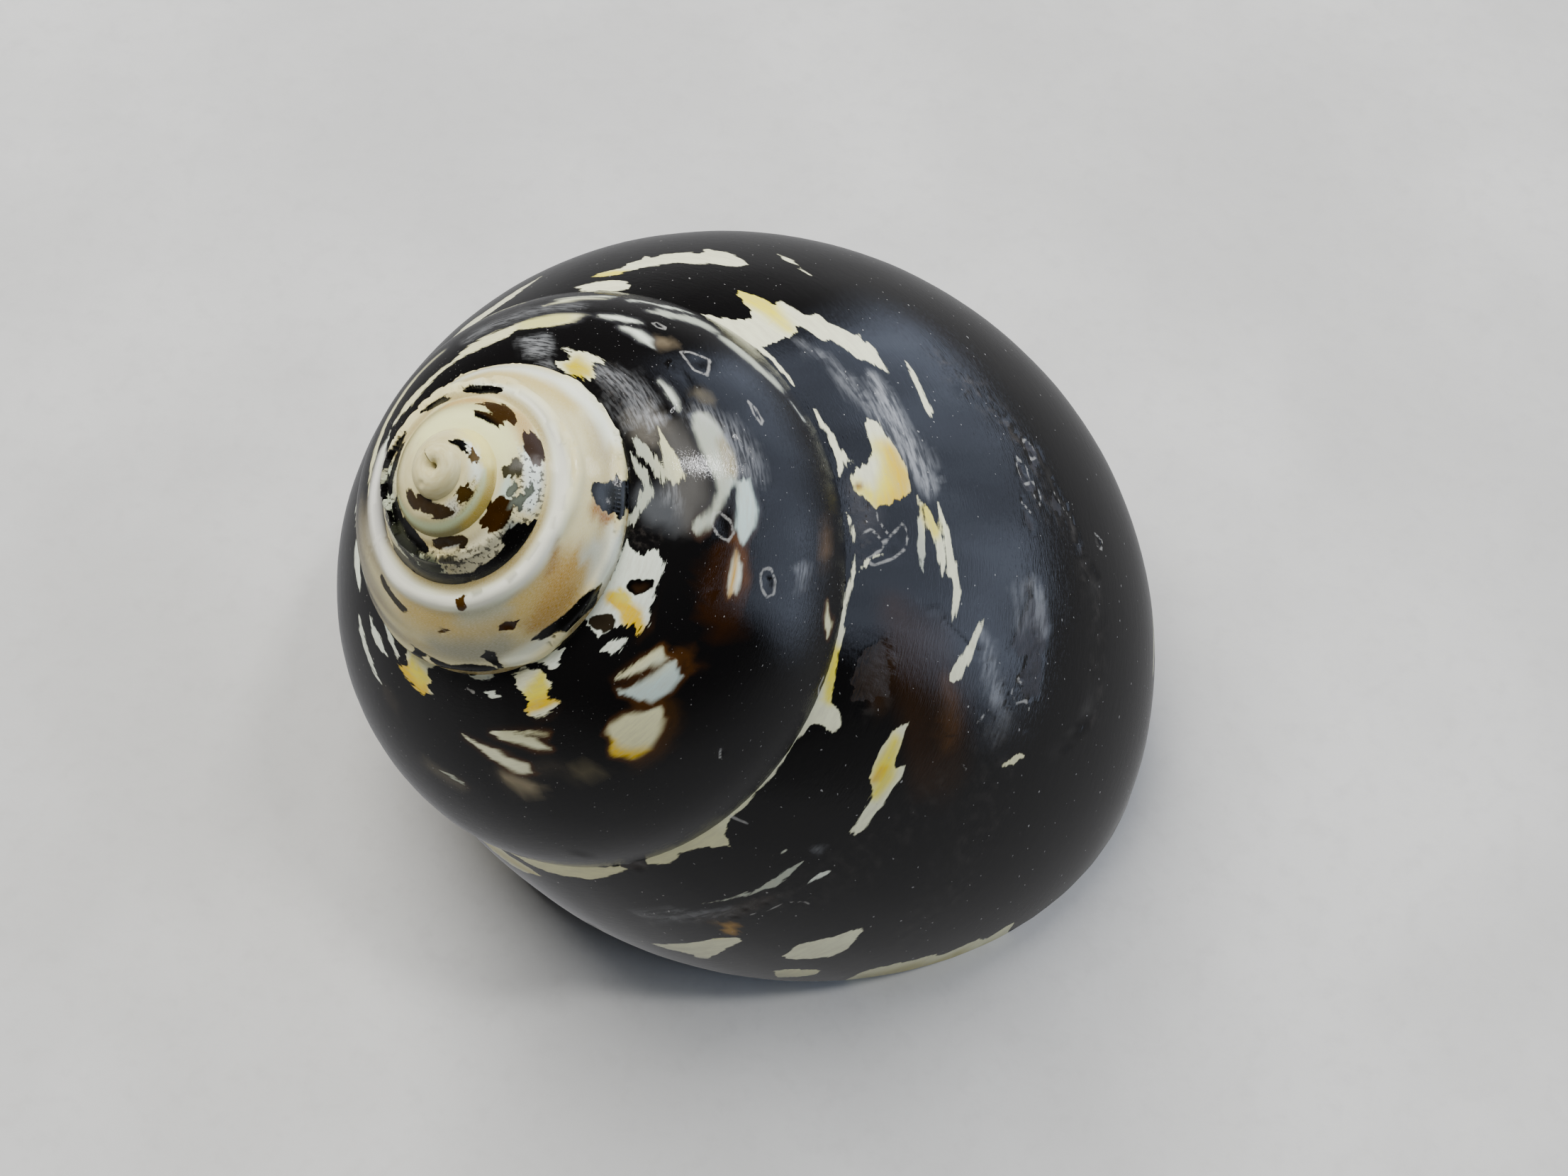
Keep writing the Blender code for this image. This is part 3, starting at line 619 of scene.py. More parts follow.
# Darkness of the dark patches: brown rather than black.
DEEP_TINTS = (
    ((96, 66, 30), .3, (-190.3,38,.5, -190.3,35,.5)), ((70, 44, 20), .3, (-194.6,14.5,.6, -194.3,14,.6)),
    ((96, 70, 36), .3, (-186,19.5,.5, -185.8,19,.5)), ((70, 62, 52), .3, (-180,24,.6, -176,29,.6)),
    ((66, 66, 70), .6, (-214.5,0,.7, -213,8,.6)), ((62, 40, 20), .4, (-307,42,.8, -302,42,.8)),
    ((72, 52, 34), .4, (-334,24,.8, -327,25,.8)), ((70, 52, 40), .4, (-322,17,.8, -318,17,.8)),
    ((86, 80, 66), .4, (-317,37,.4, -314,36,.4, -315.3,45,.4)),
    ((140, 142, 136), .2, (-311,37.5,.3, -310.8,38,.3)),
    ((140, 142, 136), .2, (-308.5,28,.3, -308.2,31,.3)),
    ((140, 142, 136), .2, (-311.5,21.5,.3, -311.2,22.5,.3)),
    ((110, 104, 92), .2, (-292,26,.3, -288.5,28,.3)), ((66, 52, 38), .3, (-294,44,.4, -287,44,.5)),
    ((78, 78, 66), .3, (-286,18,.4, -276,30,.6)),
    ((82, 62, 38), .2, (-405.5,33,.4, -403.5,38,.5, -401.5,42,.4)),
    ((104, 80, 46), .2, (-419.4,26,.3, -418,29,.3)),
    ((72, 56, 40), .3, (-393,40,.6, -379,50,.6, -372,48,.4)),
    ((60, 40, 22), .3, (-106.5,40,.2, -106.2,42,.2)), ((64, 54, 38), .3, (-102,45,.6, -101.4,47,.6)),
    ((64, 54, 48), .3, (8,32,.6, 9,33,.6)),
)
# Thin pale haze and frayed streaks under the polish: strength, softness, stroke.
MISTS = (
    (.8, .8, (-23.5,20.5,.3, -22,21,.8, -20.5,21,1.1, -19,19.5,.9, -17.8,18.3,.4)),
    (.55, .6, (-24.5,26.5,.2, -22.5,24.7,.4, -21,24,.3)),
    (.35, .5, (-26.8,29,.15, -25.5,27,.3, -24.3,26,.15)),
    (.4, .6, (-12,9.3,.2, -11,7.5,.6, -10,5.3,.7, -9.2,3.7,.5, -8.8,3,.2)),
    (.35, .8, (8.5,19.5,.3, 7,18.5,.4, 10.5,20,.4, 6,18,.3)), (.5, .4, (7,19.2,.1, 8,19.6,.3, 9.2,20,.2)),
    (.6, .5, (-137.8,41,.4, -136.5,42,.8, -135.3,43,.5)),
    (.5, .7, (-128,43,.4, -126,41,.6, -124,39.5,.6, -122.5,40,.6)),
    (.75, .4, (-121.8,40,.5, -121.3,37.5,.6, -120.8,36.5,.2)),
    (.5, .5, (-125,49,.2, -123,48,.3, -121.5,46,.4)), (.4, 1, (-120.5,20,1, -119,14,1.2, -117,9,1)),
    (.35, .5, (-114.5,37,.6, -113.8,35.2,.3)), (.5, .25, (-111.7,-13,.5, -111.1,-14,.5)),
    (.35, .4, (-14.3,-1.5,.9, -13,-3,.9)), (.2, .8, (-14,2,.8, -12.8,1.5,.8)),
    (.5, .3, (-1.2,-51,.2, -2.2,-48,.4, -3.2,-46,.2)), (.5, .2, (-2.1,-32.3,.2, -2,-34.3,.2)),
    (.18, 1.2, (-8.8,1.5,.6, -7.9,2.5,.6)), (.3, .3, (.4,18.2,.2, .8,19,.2)),
    (.35, .8, (-145,27,.5, -142,23,.6, -139,19,.5, -136,15,.3)), (.4, .4, (-134.8,50,.15, -133.6,51,.25)),
    (.3, .5, (-126.5,38,.3, -124.8,36,.3, -123,34.5,.3)),
)
# Pits: hundredths of a turn, degrees, radius and depth in millimetres.
PITS = (
    (-20.5, -7.2, .35, .10), (-19.3, -3.3, .45, .12), (-18.4, -5.2, .3, .07), (-18, -1.2, .25, .05),
    (-17.2, -21, .4, .10), (-113, 19, .9, .12), (-110.4, .6, .5, .10), (-129.5, 8.8, .25, .08),
    (-108.5, 18.6, .3, .08), (-106.4, 41.3, .5, .10), (-101.7, 46, .7, .12), (-190.3, 36.8, .45, .15),
    (-194.6, 14.4, .45, .15), (-186, 19.3, .25, .08), (-213.5, 5, .7, .12), (8.4, 32, .5, .1),
    (5.4, 17, .4, .08), (6.2, 16.2, .3, .08), (4.4, 16.3, .3, .06), (-16.4, 31, .4, .08),
    (-15.6, 31.5, .3, .08), (-17.2, 32, .3, .06), (-14.6, 26.5, .6, .06), (-90.2, -22.5, .2, .05),
    (-92, -9, .2, .06), (-86, -13, .2, .05), (-96.2, -20.3, .22, .08), (-94, -6.8, .2, .05),
    (-14.4, -1, .9, .05), (-12.8, -3, .8, .05), (-10.6, .3, .3, .06), (-10, -2.4, .3, .06),
    (-125.3, 9, .9, .05), (-120.9, -.9, .6, .05), (-305, 16, .3, .06), (-289.5, 43.3, .3, .05),
    (-304.5, 42, .5, .06), (-390, 42, .3, .05), (-480, 36, .3, .12), (-100.9, -12, .3, .06),
)
# Chips and scratched patches, matt and brownish: colour, outline.
CHIPS = (
    ((44, 33, 22), (-10,27, -9,24, -8.5,23, -8,22.5, -7,25, -6.5,28, -7.5,30, -9,30)),
    ((44, 40, 42), (-14,-.5, -14,-3.5, -13,-5, -12,-4, -11,-4.5, -10,-4.5, -10,-1.5, -10.5,.5, -11.5,0,
        -11.5,4.5, -12.5,2.5)),
    ((52, 50, 54), (-21.2,-6.5, -20.6,-9.2, -19.9,-8.2, -19.6,-6.4, -20.4,-5.6)),
    ((52, 50, 54), (-19.9,-2.6, -19.4,-4.9, -18.6,-4.4, -18.5,-2.4, -19.4,-1.7)),
    ((44, 42, 44), (-18.6,-9, -18.2,-11, -17.5,-10.4, -17.7,-8.6)),
    ((44, 42, 44), (-17.6,-.6, -17.4,-3, -16.8,-2.2, -16.9,0)),
)
# Old growth creases in the polish: half width and depth in millimetres, stroke.
CREASES = (
    (.34, .06, (-23,5, -22,-1, -21,-6, -20.5,-9.5, -18.5,-11, -18,-13, -16.5,-14.5, -15.5,-18, -14,-19,
        -12,-19, -10.5,-17.5, -8.5,-12.5)),
    (.3, .04, (-12.2,21, -11.6,13, -10.8,7, -9.4,2, -8.6,-3)),
    (.3, .05, (-121.8,34, -121.6,28, -120.8,20, -118.6,10, -116.6,2)),
    (.3, .05, (-126,20, -123,17, -121.9,24, -121.6,32)),
)
# Mottled flecks on the spire: strength, softness, stroke.
FLECKS = (
    (1, .6, (-318,22,.8, -312,20,1.2, -306,20,1.2, -299,16,1, -292,24,1, -284,24,1.1, -274,28,1,
        -262,32,.7)),
    (.7, .4, (-407,30,.5, -399,34,.5, -388,42,.5)),
)
# Worn places: strength, softness in millimetres, stroke.
WORN = (
    (.35, 2, (-5,8,1, 0,12,2.5, 4,16,2)), (.3, 2.5, (-8,2,2, -3,-4,3, 1,-8,2)),
    (1, 1.2, (-24.5,4,.6, -22.5,-1,1.2, -21,-6,.8)), (.8, .8, (-20.4,-8,.8, -18.2,-5,1, -17,-13,.6)),
    (.6, 1, (-16.5,-14,.5, -14,-18,.6, -12,-19,.4, -10,-20,.4)),
    (.7, .8, (-14.3,0,.8, -12.6,-3,.8, -10.5,-1,.8)),
    (.9, .8, (3,15.8,.4, 5,16.8,.9, 7,17.3,.7, 8.5,19,.4)),
    (.8, .8, (-16.8,32.5,.6, -15,31,.9, -13.5,31,.4)), (.6, 1, (-9.4,25,.8, -7.8,25,1.2, -6.6,26,.6)),
    (.7, .8, (-128,43,.8, -124,40,1.2, -121,40,1.2)), (.6, .6, (-111.5,-13,.6, -110.8,-14.5,.6)),
    (.6, .6, (-110.9,44,.8, -110.2,48,.8)), (.6, .8, (7.8,32,.6, 9,32,.6)),
)


# ---------------------------------------------------------------- distances to the marks, in millimetres
FRAY = 0.30               # how far the ends of marks are frayed along the coil
FAR = -4.0                # distance given to places that no mark is near
SHRINK = 0.14             # outlines are drawn wider than the marks by this much
MARK_REACH, CHIP_REACH, LINE_REACH = 3.0, 2.0, 2.0   # how far from a mark its distance is worked out
COLOUR_REACH = 1.2        # how far a mark's colour carries beside it
LINE_WIDTH = 0.08
DARK_GROWN = (0.1, 0.2)   # dark marks are drawn smaller than they are by this: outer whorls, spire
SPIRE_TURN = -2.2         # the spire begins here for the dark marks
PEARLY = (1.66, 1.80, 1.85)   # turns back along the coil: black ends; all is pearl in colour, in shape
RICHER = 1.4              # how much stronger the colours are than as read, and the share of each
TONE_BALANCE = (0.97, 1.05, 0.92)
DEEP_SHARE = 0.5          # dark marks are darker than as read


def scale_at(turn, across):
    """Millimetres per turn and per radian across, near one place."""
    step = 1e-4
    here = outside(np.array([turn]), np.array([across]))
    along = outside(np.array([turn + step]), np.array([across]))
    side = outside(np.array([turn]), np.array([across + step]))
    return np.linalg.norm(along - here) / step * MM, np.linalg.norm(side - here) / step * MM


class Places:
    """Points of the outside, by turn and angle across, that marks are measured against."""

    def __init__(self, turn, across):
        self.turn, self.across = turn, across
        streak = noise(turn * 30, across * 20, 3) + 0.5 * noise(turn * 46, across * 50, 4)
        mid_r = oval(turn)[0]
        self.frayed = turn + FRAY / MM / (2 * math.pi * mid_r) * streak
        self.order = np.argsort(turn)
        self.sorted_turn = turn[self.order]

    def near(self, nodes, reach):
        """Which points are near a mark, where they and its nodes lie in millimetres, and the scales."""
        turns, angles = nodes[:, 0] / 100, np.radians(nodes[:, 1])
        per_turn, per_angle = scale_at(turns.mean(), angles.mean())
        margin = reach + FRAY
        first, last = np.searchsorted(self.sorted_turn, (turns.min() - margin / per_turn,
                                                         turns.max() + margin / per_turn))
        some = self.order[first:last]
        a = self.across[some]
        some = some[(a > angles.min() - margin / per_angle) & (a < angles.max() + margin / per_angle)]
        return some, turns * per_turn, angles * per_angle, per_turn, per_angle

    def stroke(self, numbers, reach, width=None, frayed=True, pointed=False):
        """Which points are within reach of a stroke, and their signed distance to it (positive inside)."""
        nodes = np.reshape(numbers, (-1, 3 if width is None else 2)).astype(float)
        widths = nodes[:, 2] if width is None else np.full(len(nodes), width)
        if pointed:
            widths = widths * 0.8
            widths[[0, -1]] *= 0.4
        some, px, py, per_turn, per_angle = self.near(nodes, reach + widths.max())
        x, y = (self.frayed if frayed else self.turn)[some] * per_turn, self.across[some] * per_angle
        best = np.full(len(some), -1e3)
        for k in range(len(nodes) - 1):
            gap, share = to_segment(x, y, px[k], py[k], px[k + 1], py[k + 1])
            best = np.maximum(best, widths[k] + share * (widths[k + 1] - widths[k]) - gap)
        return some, best

    def patch(self, numbers, reach):
        """Which points are within reach of an outline, and their signed distance to it (positive inside)."""
        nodes = np.reshape(numbers, (-1, 2)).astype(float)
        some, px, py, per_turn, per_angle = self.near(nodes, reach)
        x, y = self.frayed[some] * per_turn, self.across[some] * per_angle
        gap, inside = np.full(len(some), 1e3), np.zeros(len(some), bool)
        for k in range(len(nodes)):
            j = (k + 1) % len(nodes)
            gap = np.minimum(gap, to_segment(x, y, px[k], py[k], px[j], py[j])[0])
            if py[j] - py[k]:
                crosses = (py[k] > y) != (py[j] > y)
                inside ^= crosses & (x < px[k] + (y - py[k]) / (py[j] - py[k]) * (px[j] - px[k]))
        return some, np.where(inside, gap, -gap) - SHRINK


def to_segment(x, y, x0, y0, x1, y1):
    """Distances from points to a segment, and how far along it the nearest places are."""
    dx, dy = x1 - x0, y1 - y0
    share = np.clip(((x - x0) * dx + (y - y0) * dy) / (dx * dx + dy * dy), 0, 1)
    return np.hypot(x - x0 - share * dx, y - y0 - share * dy), share


# Where the unseen flames may lie: lowest and highest angle across at these hundredths of a turn.
UNSEEN_AT = (-95, -80, -72, -54, -50, 21)
UNSEEN_LOW = (-112, -100, -70, -62, -112, -112)
UNSEEN_HIGH = (-52, -40, 0, 22, -50, -56)
UNSEEN_COUNT = 64
UNSEEN_STEPS, UNSEEN_FIRST = (0.6180, 0.4142, 0.7320), 0.37   # scatter: parts of 1 added for each flame


def unseen_marks():
    """Flames like those in sight, carried round the far side and over the base."""
    marks = []
    for k in range(UNSEEN_COUNT):
        one, two, three = (math.modf(k * step + UNSEEN_FIRST)[0] for step in UNSEEN_STEPS)
        at = UNSEEN_AT[0] + (UNSEEN_AT[-1] - UNSEEN_AT[0]) * one
        low, high = np.interp(at, UNSEEN_AT, UNSEEN_LOW), np.interp(at, UNSEEN_AT, UNSEEN_HIGH)
        angle = low + (high - low) * two
        lean, length, half = 1.8 * (three - 0.5), 1.2 + 2.6 * three, 0.35 + 0.75 * two * one
        colour = (IVORY, CREAM, WHITE, IVORY)[k % 4]
        marks.append((colour, (at, angle, half * 0.4, at + length * 0.4, angle + lean * length, half,
                               at + length * 0.7, angle + lean * length * 1.9, half * 0.9,
                               at + length, angle + lean * length * 2.6, half * 0.2)))
    return marks


def raise_to(values, some, least):
    values[some] = np.maximum(values[some], least)


def paint_marks(places, made):
    """Distances to the pale, dark, line and chip marks, and the colours of the pale ones and the chips."""
    size = len(places.turn)
    made.update({name: np.full(size, FAR) for name in ("pale", "dark", "line", "chip")})
    weight = np.full(size, 1e-9)
    pale_tone = np.tile(linear(IVORY), (size, 1)) * 1e-9
    measured = [(colour, places.patch(outline, MARK_REACH)) for colour, outline in PALE_PATCHES]
    measured += [(colour, places.stroke(stroke, MARK_REACH, pointed=True))
                 for colour, stroke in (*PALE_STROKES, *unseen_marks())]
    for colour, (some, gap) in measured:
        raise_to(made["pale"], some, gap)
        share = smooth(gap, -COLOUR_REACH, 0.3)
        weight[some] += share
        pale_tone[some] += share[:, None] * linear(colour)
    made["pale_tone"] = pale_tone / weight[:, None]
    for marks, measure, drawn in ((DARK_PATCHES, places.patch, SHRINK), (DARK_STROKES, places.stroke, 0)):
        for mark in marks:
            some, gap = measure(mark, MARK_REACH)
            grown = np.where(places.turn[some] < SPIRE_TURN, DARK_GROWN[1], DARK_GROWN[0])
            raise_to(made["dark"], some, gap + grown + drawn)
    made["chip_tone"] = np.tile(linear((50, 46, 46)), (size, 1))
    for colour, outline in CHIPS:
        some, gap = places.patch(outline, CHIP_REACH)
        raise_to(made["chip"], some, gap)
        made["chip_tone"][some] = np.where(gap[:, None] > -0.5, linear(colour), made["chip_tone"][some])
    for line in LINES:
        some, gap = places.stroke(line, LINE_REACH, LINE_WIDTH, frayed=False)
        raise_to(made["line"], some, gap)


def paint_tones(places, made):
    """Colours of the ground, black on the outer whorls and pearl on the spire, and all the tints, with
    painted highlight on the pearly ridges and painted shade beside them.
    """
    turn, across = places.turn, places.across
    spire = smooth(-turn + 0.05 * noise(turn * 9, across * 9, 11), PEARLY[0], PEARLY[1])
    black, pearl = linear((15, 14, 14)), linear((216, 202, 168))
    lumps = (noise(turn * 14, across * 6, 12) + noise(turn * 30, across * 14, 13))[:, None]
    pearl_tone = pearl * (1 + 0.10 * lumps * np.array([0.8, 1.0, 1.5]))
    glazed = smooth(-across + 0.10 * noise(turn * 12, across * 3, 15), math.radians(104),
                    math.radians(122))[:, None]      # the pale glaze round the umbilicus
    black = black + (linear((206, 196, 168)) - black) * glazed
    # painted light: the pearl is lighter on the crests (partly their own pale colour, partly painted
    # highlight) and darker and browner in the hollows and in the suture under the hem (painted shade)
    crest, trough = ridges(turn, across)
    pearl_tone *= ((1 + 0.3 * crest - 0.6 * trough)[:, None]
                   * (1 - trough[:, None] * np.array([0.0, 0.15, 0.4])))
    made["ground_tone"] = np.clip(black + (pearl_tone - black) * spire[:, None], 0, 0.93)
    made["deep_tone"] = np.tile(linear((12, 10, 9)), (len(turn), 1))
    made["pearl"] = spire
    for name, tints in (("pale_tone", PALE_TINTS), ("ground_tone", GROUND_TINTS), ("deep_tone", DEEP_TINTS)):
        for colour, soft, stroke in tints:
            some, gap = places.stroke(stroke, soft)
            share = smooth(gap, -soft, soft * 0.5)[:, None]
            made[name][some] += share * (linear(colour) - made[name][some])
    made["deep_tone"] *= DEEP_SHARE
    for name in ("pale_tone", "ground_tone", "deep_tone"):
        grey = made[name].mean(1)[:, None]
        richer = np.clip((grey + (made[name] - grey) * RICHER) * np.array(TONE_BALANCE), 0, 0.95)
        share = 1.0 if name == "pale_tone" else spire[:, None]
        made[name] = made[name] + (richer - made[name]) * share


def fields(turn, across):
    """Everything painted on the outside, for points given by turn and angle across."""
    places, made = Places(turn, across), {}
    paint_marks(places, made)
    paint_tones(places, made)
    made["amber"] = smooth(turn, -1.15, -1.09)
    made["soft"] = (smooth(-turn, 0.84, 0.90) * smooth(turn, -1.8, -1.5)
                    * smooth(-across, math.radians(-35), math.radians(-24))
                    * (0.7 + 0.3 * noise(turn * 25, across * 5, 14)))
    for name, marks in (("mist", MISTS), ("worn", WORN), ("fleck", FLECKS)):
        made[name] = np.zeros(len(turn))
        for strength, soft, stroke in marks:
            some, gap = places.stroke(stroke, soft)
            raise_to(made[name], some, strength * smooth(gap, -soft, soft * 0.6))
    return made


def bell(value, middle, width):
    return np.exp(-((value - middle) / width) ** 2)


def ridges(turn, across):
    """The wavy shoulder and hem of the pearly whorl, and the hollows beside them, each 0 to 1; they shape the
    relief, and the colour takes painted highlight from the crests and painted shade from the hollows and the
    suture under the hem.
    """
    shoulder = np.radians(np.interp(turn, (-2.3, -2.15, -2.06, -1.95, -1.86), (28, 25, 32, 38, 42))
                          + 4.0 * noise(turn * 17, 0 * turn, 26))
    hem = np.radians(-9 + 4.0 * noise(turn * 22, 0 * turn, 27))
    here = smooth(-turn, PEARLY[0], PEARLY[2]) * smooth(turn, -3.1, -2.9)
    crest = bell(across, shoulder, 0.075) + 0.8 * bell(across, hem, 0.06)
    trough = (0.7 * bell(across, shoulder + 0.19, 0.08) + 0.35 * bell(across, hem + 0.17, 0.08)
              + smooth(hem - across, 0.07, 0.12))
    return here * np.clip(crest, 0, 1), here * np.clip(trough, 0, 1)


SUNK = 0.05               # the uneven surface is let in by this much, so that it stays inside the CAD
CHIP_DEPTH = 0.03


def relief(turn, across):
    """Height of the uneven surface over the smooth whorl, in millimetres."""
    size = size_at(turn)
    height = size * (0.05 * noise(turn * 14, across * 1.1, 21) + 0.035 * noise(turn * 40, across * 2.3, 22)
                     + 0.012 * noise(turn * 90, across * 7, 23))
    spire = smooth(-turn, PEARLY[0], PEARLY[2])
    height += spire * size * (0.12 * noise(turn * 18, across * 3.0, 24)
                              + 0.10 * noise(turn * 36, across * 7, 25))
    crest, trough = ridges(turn, across)
    height += 0.42 * crest - 0.12 * trough
    places = Places(turn, across)
    for at, angle, radius, depth in PITS:
        some, gap = places.stroke((at, angle, at + 0.01, angle), radius * 3, 0.0, frayed=False)
        height[some] -= depth * np.exp(-(gap / radius) ** 2 * 1.5)
    for half, depth, line in CREASES:
        some, gap = places.stroke(line, half * 3, 0.0)
        height[some] -= depth * np.exp(-(gap / half) ** 2)
    for _, outline in CHIPS:
        some, gap = places.patch(outline, 0.5)
        height[some] -= CHIP_DEPTH * smooth(gap, -0.4, 0.4)
    return height - SUNK


# ---------------------------------------------------------------- mesh
def unit(vectors):
    return vectors / (np.linalg.norm(vectors, axis=1)[:, None] + NOT_ZERO)


LAST_WHORL, WHORLS = -0.28, 6   # a turn on the last whorl, and how many whorls there are to look on
AT_LIP = 2e-4             # turns from the lip within which a face belongs to the cut rim


def split_by_surface(points, triangles, source):
    """A vertex for each surface that meets at a point: regions are parted, and whorls at the sutures."""
    turn = np.zeros((len(triangles), 3))
    is_skin = source == OUTSIDE
    middle = points[triangles[is_skin]].mean(1)
    found = [find(middle, LAST_WHORL - whorl) for whorl in range(WHORLS)]
    best = np.argmin([f[2] for f in found], 0)
    face_turn = np.choose(best, [f[0] for f in found])
    for corner in range(3):
        turn[is_skin, corner] = find(points[triangles[is_skin, corner]], face_turn)[0]
    at_lip = is_skin & (np.abs(turn - TURN_LIP) < AT_LIP).all(1)
    region = np.where(at_lip, RIM, source)
    part = find(points[triangles.ravel()], 0.0)[0].reshape(-1, 3)
    # one whole number for each point, region (under 8) and whorl (under 32)
    whorl = np.where(is_skin[:, None], np.rint(turn - part) + 8, 0)
    key = (triangles * 8 + region[:, None]) * 32 + whorl
    _, first, corners = np.unique(key.ravel().astype(np.int64), return_index=True, return_inverse=True)
    return (corners.reshape(-1, 3), triangles.ravel()[first], np.repeat(region, 3)[first],
            turn.ravel()[first], region)


def refine(points, corners, where, kind, turn, across, region, closeness):
    """One pass that halves the edges longer than wanted near the edges of marks."""
    pairs = np.sort(corners[:, [[0, 1], [1, 2], [2, 0]]], 2)
    own, own_of = np.unique(pairs[..., 0] * len(where) + pairs[..., 1], return_inverse=True)
    a, b = own // len(where), own % len(where)
    shared_pair = np.sort(np.stack([where[a], where[b]], 1), 1)
    shared, shared_of, uses = np.unique(shared_pair[:, 0] * len(points) + shared_pair[:, 1],
                                        return_inverse=True, return_counts=True)
    length = np.linalg.norm(points[where[a]] - points[where[b]], axis=1) * MM
    wanted = np.clip(FINE + GROWS * np.minimum(closeness[a], closeness[b]), FINE, COARSE)
    split_own = (kind[a] == OUTSIDE) & (kind[b] == OUTSIDE) & (length > SPLIT_OVER * wanted)
    split_shared = np.zeros(len(shared), bool)
    np.logical_or.at(split_shared, shared_of, split_own)
    split_own = split_shared[shared_of]
    new_shared = np.full(len(shared), -1)
    new_shared[split_shared] = len(points) + np.arange(split_shared.sum())
    new_own = np.full(len(own), -1)
    new_own[split_own] = len(where) + np.arange(split_own.sum())
    a, b, of = a[split_own], b[split_own], shared_of[split_own]

    middle = (points[where[a]] + points[where[b]]) / 2
    skin = kind[a] == OUTSIDE
    found_turn, found_across, _ = find(middle, (turn[a] + turn[b]) / 2)
    added_turn, added_across = np.where(skin, found_turn, 0), np.where(skin, found_across, 0)
    lone = skin & (uses[of] == 1)
    target = middle.copy()
    target[lone] = outside(added_turn[lone], added_across[lone], -INSET)
    too_far = np.linalg.norm(target - middle, axis=1) > BULGE
    target[too_far] = middle[too_far]
    added_points = np.zeros((split_shared.sum(), 3))
    added_points[new_shared[of] - len(points)] = target

    mids = new_own[own_of].reshape(-1, 3)
    count = (mids >= 0).sum(1)
    out, out_region = [corners[count == 0]], [region[count == 0]]

    def keep(chosen, *faces):
        for face in faces:
            out.append(np.stack(face, 1))
            out_region.append(region[chosen])

    full = count == 3
    (t0, t1, t2), (m0, m1, m2) = corners[full].T, mids[full].T
    keep(full, (t0, m0, m2), (t1, m1, m0), (t2, m2, m1), (m0, m1, m2))
    for shift in range(3):
        turned = [(k + shift) % 3 for k in range(3)]
        t, m = corners[:, turned], mids[:, turned]
        one = (count == 1) & (m[:, 0] >= 0)
        (t0, t1, t2), m0 = t[one].T, m[one, 0]
        keep(one, (t0, m0, t2), (m0, t1, t2))
        two = (count == 2) & (m[:, 2] < 0)
        (t0, t1, t2), (m0, m1, _) = t[two].T, m[two].T
        keep(two, (m0, t1, m1), (t0, m0, m1), (t0, m1, t2))
    return (np.concatenate([points, added_points]), np.concatenate(out),
            np.concatenate([where, new_shared[of]]), np.concatenate([kind, kind[a]]),
            np.concatenate([turn, added_turn]), np.concatenate([across, added_across]),
            np.concatenate(out_region))


def closeness_to_edges(turn, across, kind):
    """Millimetres to the nearest mark's edge; on the spire, as if a mark were near everywhere."""
    near = np.full(len(turn), FAR_FROM_MARKS)
    skin = kind == OUTSIDE
    made = fields(turn[skin], across[skin])
    near[skin] = np.min([np.abs(made[name]) for name in ("pale", "dark", "line", "chip")], 0)
    near[skin] = np.minimum(near[skin], SPIRE_CLOSENESS + 8.0 * smooth(turn[skin], -1.75, -1.55))
    return near


def move_to_relief(points, corners, where, kind, turn, across):
    """Points moved onto the uneven surface, and a normal for each vertex."""

    def surface(turn, across):
        lift = relief(turn, across) / MM
        return outside(turn, across, -INSET + lift), lift

    skin = kind == OUTSIDE
    here, lift = surface(turn[skin], across[skin])
    along = surface(turn[skin] + SMALL_TURN, across[skin])[0] - here
    side = surface(turn[skin], across[skin] + SMALL_ANGLE)[0] - here
    normal = unit(np.cross(along, side))
    normals = np.zeros((len(where), 3))
    one, two, three = (points[where[corners[:, k]]] for k in range(3))
    face_normal = np.cross(two - one, three - one)
    for corner in range(3):
        np.add.at(normals, corners[:, corner], face_normal)
    normals = unit(normals)
    normal *= np.where((normal * normals[skin]).sum(1) < 0, -1.0, 1.0)[:, None]
    agrees = ((normal * normals[skin]).sum(1) > 0.8)[:, None]
    shift = np.zeros((len(where), 3))
    shift[skin] = np.where(agrees, normal, 0) * lift[:, None]
    normals[skin] = np.where(agrees, normal, normals[skin])
    total, uses = np.zeros((len(points), 3)), np.zeros(len(points))
    np.add.at(total, where, shift)
    np.add.at(uses, where, 1)
    moved = points + total / np.maximum(uses, 1)[:, None]
    touches_ground = np.zeros(len(points), bool)
    touches_ground[where[kind == GROUND]] = True
    moved[touches_ground] = points[touches_ground]
    moved[:, 2] = np.maximum(moved[:, 2], 0.0)
    return moved, normals


def build_shell():
    """The whole fine shell: points, triangles of split vertices, and what is known at each of those."""
    names = ("stand_outside", "stand_pillar", "stand_ground", "stand_inside")
    stand_ins = [bpy.data.materials.new(name) for name in names]
    points, triangles, source = rough_shell(stand_ins)
    for material in stand_ins:
        bpy.data.materials.remove(material)
    corners, where, kind, turn, region = split_by_surface(points, triangles, source)
    skin = kind == OUTSIDE
    across = np.zeros(len(turn))
    across[skin] = find(points[where[skin]], turn[skin])[1]
    for _ in range(PASSES):
        points, corners, where, kind, turn, across, region = refine(
            points, corners, where, kind, turn, across, region, closeness_to_edges(turn, across, kind))
    moved, normals = move_to_relief(points, corners, where, kind, turn, across)
    return moved, corners, where, kind, turn, across, region, normals


def round_the_mouth(faces, region, mouth):
    """Spread the mouth's edge over the flat faces that join it, so that the resting spot stays 0."""
    flat = faces[(region == GROUND) | (region == RIM)]
    while True:
        spread = mouth.copy()
        np.maximum.at(spread, flat.ravel(), np.repeat(mouth[flat].max(axis=1), 3))
        if (spread == mouth).all():
            return spread
        mouth = spread


